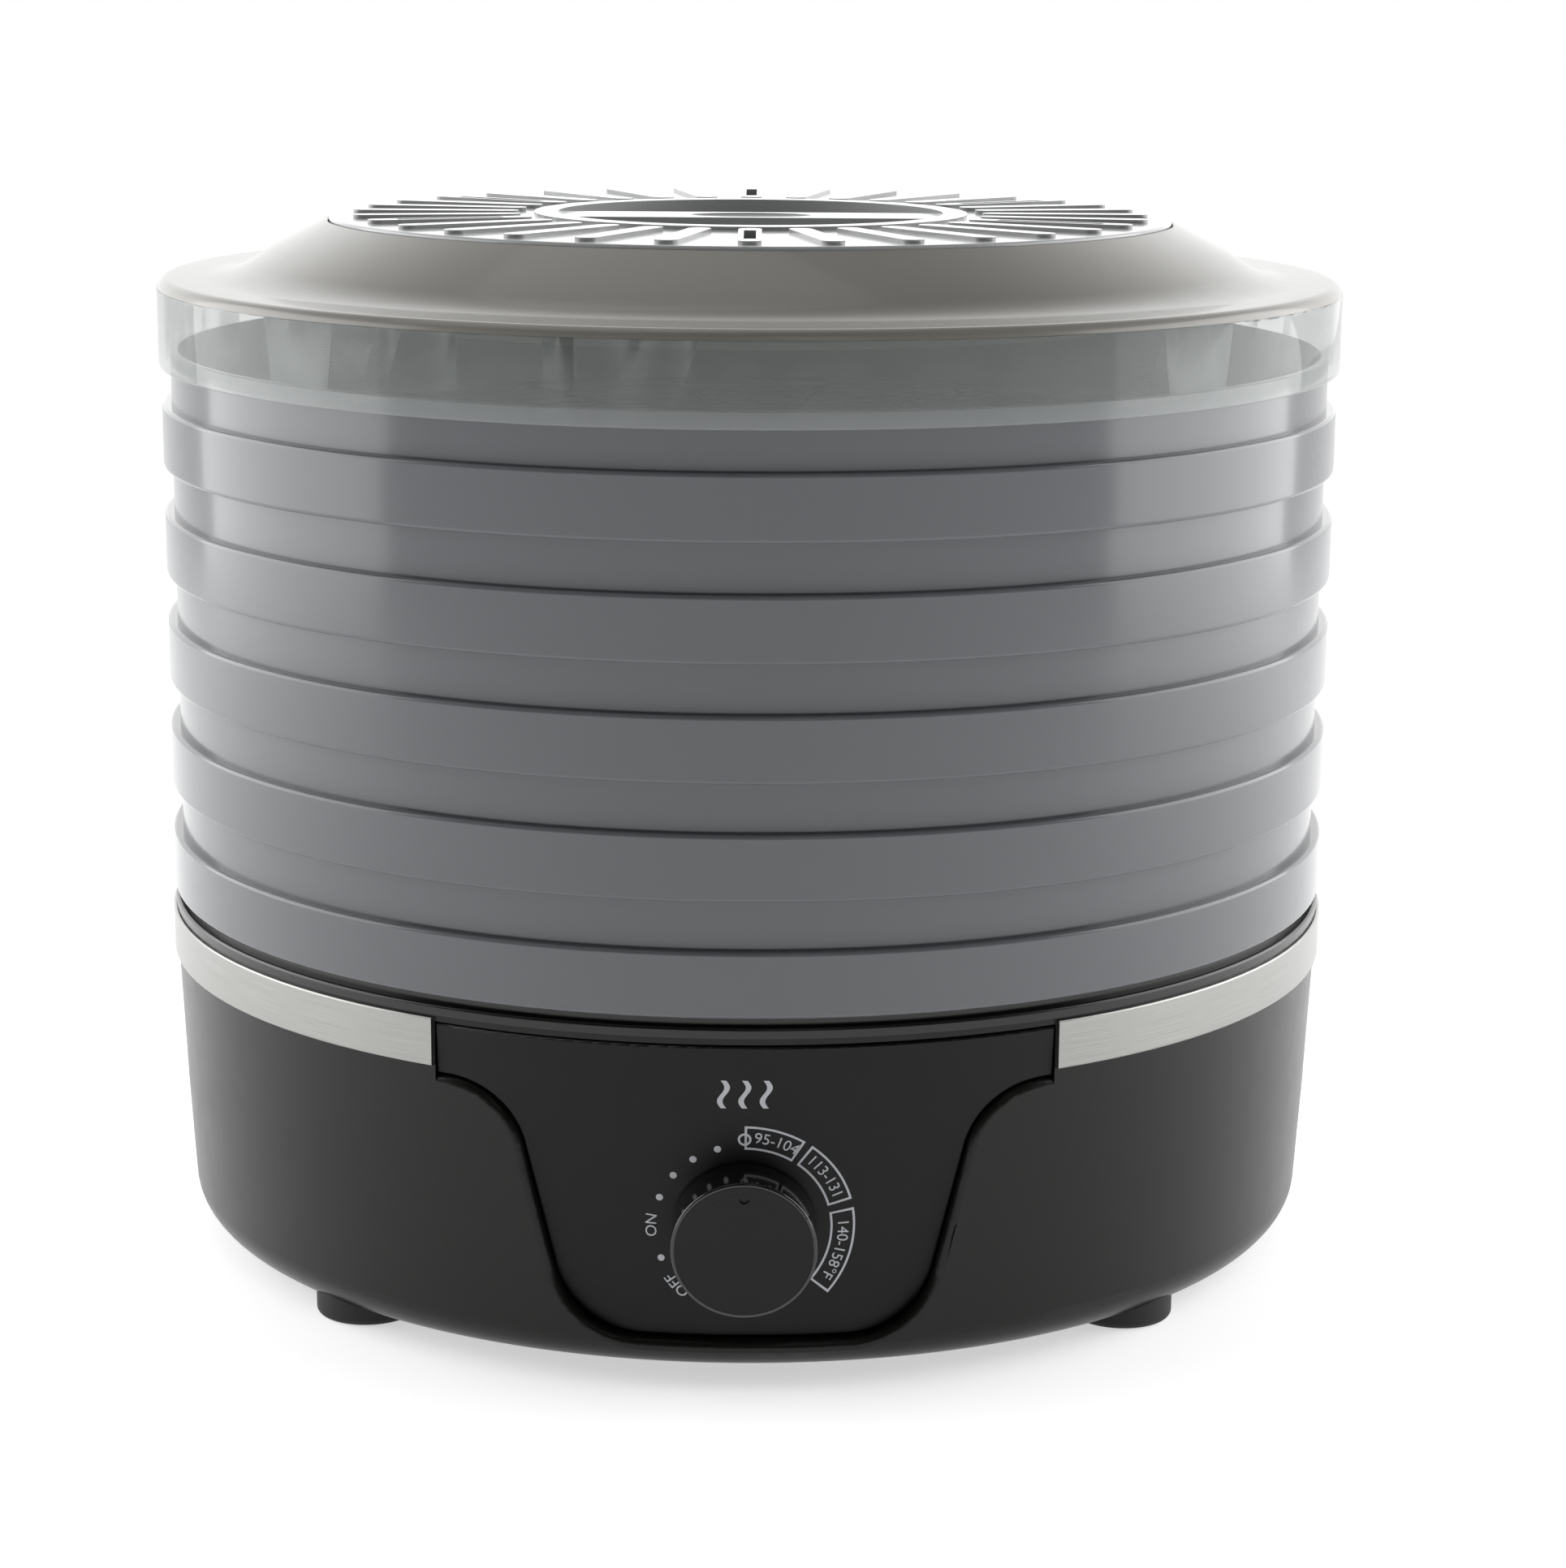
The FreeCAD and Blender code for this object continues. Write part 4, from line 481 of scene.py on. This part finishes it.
def mixed_colour(tree, mask, low, high):
    node = tree.nodes.new("ShaderNodeMix")
    node.data_type = "RGBA"
    tree.links.new(mask, node.inputs["Factor"])
    for socket, value in ((node.inputs[6], low), (node.inputs[7], high)):
        if isinstance(value, bpy.types.NodeSocket):
            tree.links.new(value, socket)
        else:
            socket.default_value = (*value, 1)
    return node.outputs[2]


def mixed_value(tree, mask, low, high):
    node = tree.nodes.new("ShaderNodeMix")
    tree.links.new(mask, node.inputs["Factor"])
    for socket, value in ((node.inputs[2], low), (node.inputs[3], high)):
        if isinstance(value, bpy.types.NodeSocket):
            tree.links.new(value, socket)
        else:
            socket.default_value = value
    return node.outputs[0]


def clear_plastic():
    """Clear moulding with painted shade where it is seen edge on: its colour darkens and its alpha rises at
    grazing angles.
    """
    material, tree, shader, vector = new_material("window_plastic")
    values = {"Colour": (*look().window_colour, 1), "Roughness": 0.05, "Cloud": 0.05,
              "Grain scale": 900.0, "Marks": 0.3}
    node = finish_with(tree, shader, group_named("moulded"), vector, values, 0.004 * MM, 0.1)
    facing = tree.nodes.new("ShaderNodeLayerWeight")
    facing.inputs["Blend"].default_value = 0.5
    edge = math_node(tree, "POWER", facing.outputs["Facing"], 2.5)
    # Painted shade: by view angle the colour is mixed towards dark grey-green (0.10, 0.115, 0.108) where the
    # surface is seen edge on, standing in for the dark edges of clear plastic.
    tree.links.new(mixed_colour(tree, edge, node.outputs["Colour"], (0.10, 0.115, 0.108)),
                   shader.inputs["Base Color"])
    tree.links.new(mixed_value(tree, edge, 0.15, 0.62), shader.inputs["Alpha"])
    shader.inputs["Coat Weight"].default_value = 0.2
    return material


def finishes():
    """Every finish by the names of the CAD nodes that take it."""
    settings = look()
    shell = plastic("shell_plastic", settings.shell_colour, 0.30, grain=3200.0, strength=0.35, shine=0.30)
    deck = plastic("deck_plastic", settings.shell_colour, 0.24, grain=3200.0, strength=0.2)
    panel = plastic("panel_plastic", settings.panel_colour, 0.40, grain=4200.0, strength=0.4, shine=0.22)
    trays = plastic("tray_plastic", settings.tray_colour, 0.17, grain=900.0, cloud=0.06, marks=0.12,
                    depth=0.004 * MM, strength=0.15, coat=0.15)
    steel = plastic("bright_steel", (0.55, 0.54, 0.52), 0.3, grain=5000.0, metallic=1.0)
    return {
        shell: ["base_shell"],
        deck: ["top_deck", "outlet_grille"],
        panel: ["control_panel"],
        brushed_metal("band_steel", (0.33, 0.33, 0.318), 0.30, 0.6): ["trim_band"],
        plastic("foot_rubber", (0.012, 0.012, 0.012), 0.7, grain=1500.0, depth=0.05 * MM):
            ["foot_rear_right", "foot_rear_left", "foot_front_left", "foot_front_right"],
        plastic("gland_rubber", (0.015, 0.015, 0.015), 0.55, grain=1500.0): ["cord_gland"],
        plastic("knob_plastic", (0.006, 0.006, 0.006), 0.12, grain=3000.0, strength=0.08, coat=0.4):
            ["knob"],
        spun_metal("knob_spun", (0.022, 0.022, 0.022), 0.16): ["knob_cap"],
        trays: [f"tray_{number}" for number in range(1, 6)],
        plastic("dome_plastic", settings.dome_colour, 0.30, grain=1800.0, cloud=0.12, marks=0.15,
                strength=0.25, coat=0.3): ["lid_cover"],
        plastic("plate_plastic", settings.plate_colour, 0.15, grain=1200.0, cloud=0.05, marks=0.15,
                depth=0.004 * MM, strength=0.2, coat=0.2): ["vent_plate"],
        steel: ["foot_screws", "deck_screws", "thermostat_shaft", "motor_axle", "motor_screws",
                "strap_screws", "duct_screws", "terminal_screws"],
        plastic("zinc_plate", (0.42, 0.41, 0.36), 0.4, grain=1800.0, cloud=0.3, metallic=1.0):
            ["thermostat_bush", "thermostat_nut", "motor_lower_strap", "motor_upper_strap"],
        brushed_metal("lamination_stack", (0.20, 0.19, 0.18), 0.5, 0.6): ["motor_stator", "motor_rotor"],
        plastic("winding_copper", (0.42, 0.16, 0.06), 0.35, grain=2600.0, cloud=0.3, metallic=1.0,
                depth=0.2 * MM): ["motor_winding"],
        plastic("fan_plastic", (0.16, 0.16, 0.15), 0.35): ["fan_impeller"],
        plastic("duct_sheet", (0.48, 0.48, 0.46), 0.33, grain=700.0, cloud=0.25, metallic=1.0):
            ["fan_duct"],
        plastic("mica_board", (0.42, 0.36, 0.26), 0.5, grain=500.0, cloud=0.5):
            ["heater_board_x", "heater_board_y"],
        plastic("element_wire", (0.30, 0.25, 0.20), 0.4, grain=3500.0, metallic=1.0, depth=0.3 * MM):
            ["heater_elements"],
        plastic("fuse_enamel", (0.60, 0.62, 0.58), 0.3): ["thermal_fuse"],
        plastic("terminal_nylon", (0.68, 0.67, 0.62), 0.4): ["terminal_block"],
        plastic("thermostat_resin", (0.045, 0.028, 0.018), 0.35): ["thermostat_body"],
    }


# ---------------------------------------------------------------- operators

class DEHYDRATOR_OT_finishes(bpy.types.Operator):
    """Give every CAD node its finish"""

    bl_idname = "dehydrator.finishes"
    bl_label = "Finishes"

    def execute(self, context):
        nodes = dict(frame["nodes"])
        for material, names in finishes().items():
            for name in names:
                node = nodes.pop(name)
                node.data.materials.clear()
                node.data.materials.append(material)
        if nodes:
            raise RuntimeError(f"no finish for {sorted(nodes)}")
        return {"FINISHED"}


def copy_of(node, name):
    """A merged copy of a CAD node's mesh, as a piece of its own."""
    only(frame["nodes"][node])
    bpy.ops.object.duplicate()
    piece = bpy.context.object
    bpy.ops.object.parent_clear(type="CLEAR_KEEP_TRANSFORM")
    for key in list(piece.keys()):
        del piece[key]
    piece.name = name
    piece.data.name = name
    return clean(apply_place(piece))


def cut_level(piece, height, keep_above):
    """Keep what is above or below a height, and close the cut wall."""
    only(piece)
    bpy.ops.object.mode_set(mode="EDIT")
    bpy.ops.mesh.select_mode(type="EDGE")
    bpy.ops.mesh.select_all(action="SELECT")
    bpy.ops.mesh.bisect(plane_co=(0, 0, height * MM), plane_no=(0, 0, 1),
                        clear_inner=keep_above, clear_outer=not keep_above)
    bpy.ops.mesh.select_all(action="DESELECT")
    bpy.ops.mesh.select_non_manifold()
    bpy.ops.mesh.bridge_edge_loops()
    bpy.ops.mesh.select_mode(type="VERT")
    bpy.ops.object.mode_set(mode="OBJECT")
    return clean(piece)


def dress(piece, material, body):
    piece.data.materials.clear()
    piece.data.materials.append(material)
    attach(piece, body)
    return piece


def arc(across, up, radius, start, end, steps=10):
    """Points of an arc about a centre, from one angle to another in degrees."""
    turns = [math.radians(start + (end - start) * step / steps) for step in range(steps + 1)]
    return [(across + radius * math.cos(turn), up + radius * math.sin(turn)) for turn in turns]


def lathe(name, outline, steps=240):
    """Turn a closed outline of (radius, height) in millimetres about the Z axis."""
    clear_selection()
    bpy.ops.mesh.primitive_plane_add(size=1 * MM, location=(0, 0, 0))
    piece = bpy.context.object
    piece.name = name
    piece.data.name = name
    bpy.ops.object.mode_set(mode="EDIT")
    bpy.ops.mesh.select_mode(type="VERT")
    bpy.ops.mesh.select_all(action="SELECT")
    bpy.ops.mesh.merge(type="CENTER")
    bpy.ops.transform.translate(value=(outline[0][0] * MM, 0, outline[0][1] * MM))
    for here, there in zip(outline, outline[1:] + outline[:1]):
        step = ((there[0] - here[0]) * MM, 0, (there[1] - here[1]) * MM)
        bpy.ops.mesh.extrude_region_move(TRANSFORM_OT_translate={"value": step})
    bpy.ops.mesh.select_all(action="SELECT")
    bpy.ops.mesh.spin(steps=steps, angle=2 * math.pi, center=(0, 0, 0), axis=(0, 0, 1))
    bpy.ops.object.mode_set(mode="OBJECT")
    clean(piece)
    bpy.ops.object.shade_smooth_by_angle(angle=math.radians(28))
    return piece


def dome_outline(seam):
    """Section of the lid's slope: shoulder, flat land, slope to the rim and the plate's ledge."""
    wall, shoulder, sweep = 1.8, 3.0, 24.0
    outer, top, land = LID_HIGH.x, LID_HIGH.z, LID_LOW.z + 21.3
    foot, knee, rim = 128.0, (117.4, land + 6.7), PLATE_HIGH.x + 0.3
    ledge, seat = PLATE_HIGH.x - 8.0, PLATE_LOW.z
    slope = math.degrees(math.atan2(knee[1] - land, foot - knee[0]))
    run = sweep * math.tan(math.radians(slope / 2))
    first = math.degrees(math.asin((seam - land + shoulder) / shoulder))
    skin = arc(outer - shoulder, land - shoulder, shoulder, first, 90)
    skin += arc(foot + run, land + sweep, sweep, -90, -90 - slope)
    skin += [knee, (rim + 0.4, top - 0.1), (rim, top - 0.4), (rim, seat), (ledge, seat)]
    inside = [(ledge, seat - wall), (rim + wall, seat - wall), (knee[0] - wall / 2, knee[1] - wall)]
    inside += [(foot - wall / 2, land - wall), (outer - wall, land - wall), (outer - wall, seam)]
    return skin + inside


class DEHYDRATOR_OT_lid(bpy.types.Operator):
    """Part the lid into its clear window and its frosted dome"""

    bl_idname = "dehydrator.lid"
    bl_label = "Lid"

    def execute(self, context):
        seam = LID_LOW.z + 18.9
        window = cut_level(copy_of("lid_cover", "lid_window"), seam - 0.05, keep_above=False)
        bpy.ops.object.shade_smooth_by_angle(angle=math.radians(35))
        dome = lathe("lid_dome", dome_outline(seam + 0.05))
        dress(window, clear_plastic(), "lid")
        dress(dome, bpy.data.materials["dome_plastic"], "lid")
        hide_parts("lid_cover")
        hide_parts("lid_cover")
        return {"FINISHED"}


class DEHYDRATOR_OT_dial_print(bpy.types.Operator):
    """Print the dots, settings and temperature ranges round the dial"""

    bl_idname = "dehydrator.dial_print"
    bl_label = "Dial print"

    def execute(self, context):
        settings = look()
        proud = 0.05
        dots, inner, outer = 20.2, 19.3, 24.9
        middle = (inner + outer) / 2
        stroke = settings.stroke
        pieces = []
        for angle in (-17, -34, -51, -69, -112):
            pieces.append(lay_round_dial(flat_dot(settings.dot_radius), angle, dots, proud))
        for words, angle in (("ON", -89), ("OFF", -133)):
            letters = flat_words(words, settings.numeral_height)
            pieces.append(lay_round_dial(letters, angle, dots + 0.6, proud))
        for words, start, end in (("95-104", 0, 32.4), ("113-131", 36.4, 74), ("140-158°F", 79, 130)):
            length = math.radians(end - start) * middle * MM
            frame_piece = flat_frame(length, (outer - inner) * MM, stroke, 24)
            pieces.append(lay_round_dial(frame_piece, (start + end) / 2, middle, proud))
            letters = flat_words(words, settings.numeral_height)
            pieces.append(lay_round_dial(letters, (start + end) / 2 + (2.4 if start == 0 else 0), middle, proud))
        ring = flat_ring(1.25 * MM, stroke)
        pieces.append(lay_round_dial(ring, 0, middle - 0.4, proud))
        whole = ink(joined("dial_print", pieces))
        whole.data.materials.clear()
        whole.data.materials.append(plastic("silver_ink", settings.print_colour, 0.38, grain=9000.0,
                                            cloud=0.05, strength=0.1))
        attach(whole, "base")
        return {"FINISHED"}


class DEHYDRATOR_OT_panel_mark(bpy.types.Operator):
    """Print a plain warm-air mark above the dial"""

    bl_idname = "dehydrator.panel_mark"
    bl_label = "Panel mark"

    def execute(self, context):
        settings = look()
        wave, rise, spacing = 0.8, 6.6, 4.6
        pieces = []
        for number in (-1, 0, 1):
            line = flat_strip(2.4 * settings.stroke, rise * MM, 1, 20)
            for vertex in line.data.vertices:
                phase = vertex.co.y / (rise * MM) * 2 * math.pi
                vertex.co.x += wave * MM * math.sin(phase)
            pieces.append(lay_on_panel(line, number * spacing, 32.5, 0.05))
        whole = ink(joined("panel_mark", pieces))
        whole.data.materials.clear()
        whole.data.materials.append(bpy.data.materials["silver_ink"])
        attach(whole, "base")
        return {"FINISHED"}


def soft_light(name, size, place, target, brightness, colour=(1, 1, 1)):
    """Rectangular light of a given surface brightness, aimed at a point."""
    bpy.ops.object.light_add(type="AREA", location=place)
    light = bpy.context.object
    light.name = name
    light.data.shape = "RECTANGLE"
    light.data.size, light.data.size_y = size
    light.data.energy = brightness * math.pi * size[0] * size[1]
    light.data.color = colour
    light.rotation_euler = (Vector(target) - Vector(place)).to_track_quat("-Z", "Y").to_euler()
    light.visible_camera = False
    return light


def studio_world():
    """Lights brightly from behind and beside, dimly from the front and overhead; plain white to look at."""
    world = bpy.data.worlds.new("studio")
    world.use_nodes = True
    tree = world.node_tree
    place = tree.nodes.new("ShaderNodeTexCoord")
    split = tree.nodes.new("ShaderNodeSeparateXYZ")
    tree.links.new(place.outputs["Generated"], split.inputs[0])
    levels = []
    for axis, start, end, low, high in (("Y", -0.45, 0.25, 0.08, 1.7), ("Z", 0.30, 0.85, 1.0, 0.20)):
        ramp = tree.nodes.new("ShaderNodeMapRange")
        ramp.interpolation_type = "SMOOTHSTEP"
        for name, value in (("From Min", start), ("From Max", end), ("To Min", low), ("To Max", high)):
            ramp.inputs[name].default_value = value
        tree.links.new(split.outputs[axis], ramp.inputs["Value"])
        levels.append(ramp.outputs["Result"])
    background = tree.nodes["Background"]
    background.inputs["Color"].default_value = (1, 1, 1, 1)
    seen = tree.nodes.new("ShaderNodeMix")
    tree.links.new(tree.nodes.new("ShaderNodeLightPath").outputs["Is Camera Ray"], seen.inputs["Factor"])
    tree.links.new(math_node(tree, "MULTIPLY", *levels), seen.inputs["A"])
    seen.inputs["B"].default_value = 1.0
    tree.links.new(seen.outputs["Result"], background.inputs["Strength"])
    return world


class DEHYDRATOR_OT_stage(bpy.types.Operator):
    """Pale floor, soft studio light and the camera"""

    bl_idname = "dehydrator.stage"
    bl_label = "Stage"

    def execute(self, context):
        scene = context.scene
        scene.view_settings.view_transform = "Standard"
        scene.world = studio_world()

        clear_selection()
        bpy.ops.mesh.primitive_circle_add(vertices=96, radius=6.0, fill_type="NGON")
        floor = bpy.context.object
        floor.name = "floor"
        paper = plastic("floor_paper", look().floor_colour, 0.9, grain=400.0, cloud=0.01, strength=0.05)
        glow = paper.node_tree.nodes["Principled BSDF"].inputs
        glow["Emission Color"].default_value = (1, 1, 1, 1)
        glow["Emission Strength"].default_value = 0.55
        floor.data.materials.append(paper)

        soft_light("side_right", (1.1, 0.9), (0.95, 0.10, 0.40), (0, 0, 0.12), 2.3)
        soft_light("side_left", (1.1, 0.9), (-0.95, 0.10, 0.40), (0, 0, 0.12), 2.1)
        soft_light("top", (1.2, 0.9), (-0.35, 0.25, 1.5), (0, 0, 0.2), 0.6)
        soft_light("front", (0.35, 0.6), (0.25, -1.1, 1.2), (0, 0, 0.1), 0.6)
        bpy.ops.object.camera_add()
        camera = bpy.context.object
        camera.name = "camera"
        pan, tilt, roll = math.radians(0.41), math.radians(12.514), math.radians(0.406)
        turn = Euler((0, 0, -pan)).to_matrix() @ Euler((math.pi / 2 - tilt, 0, 0)).to_matrix()
        turn = turn @ Euler((0, 0, roll)).to_matrix()
        camera.matrix_world = Matrix.Translation((0.0023, -0.9298, 0.3152)) @ turn.to_4x4()
        camera.data.sensor_width = 36.0
        camera.data.lens = 4588.3 / 1932 * 36.0
        camera.data.clip_start = 0.05
        camera.data.clip_end = 50.0
        scene.camera = camera
        return {"FINISHED"}


class DEHYDRATOR_PT_panel(bpy.types.Panel):
    """Dehydrator tools"""

    bl_idname = "DEHYDRATOR_PT_panel"
    bl_label = "Dehydrator"
    bl_space_type = "VIEW_3D"
    bl_region_type = "UI"
    bl_category = "Dehydrator"

    def draw(self, context):
        layout = self.layout
        for operator in OPERATORS:
            layout.operator(operator.bl_idname)
        for name in DehydratorLook.__annotations__:
            layout.prop(context.scene.dehydrator_look, name)


OPERATORS = [
    DEHYDRATOR_OT_finishes,
    DEHYDRATOR_OT_lid,
    DEHYDRATOR_OT_dial_print,
    DEHYDRATOR_OT_panel_mark,
    DEHYDRATOR_OT_stage,
]
CLASSES = [DehydratorLook, *OPERATORS, DEHYDRATOR_PT_panel]


def register():
    for item in CLASSES:
        bpy.utils.register_class(item)
    bpy.types.Scene.dehydrator_look = bpy.props.PointerProperty(type=DehydratorLook)


def unregister():
    del bpy.types.Scene.dehydrator_look
    for item in reversed(CLASSES):
        bpy.utils.unregister_class(item)


def main():
    register()
    for operator in OPERATORS:
        group, name = operator.bl_idname.split(".")
        getattr(getattr(bpy.ops, group), name)()


if __name__ == "__main__":
    main()
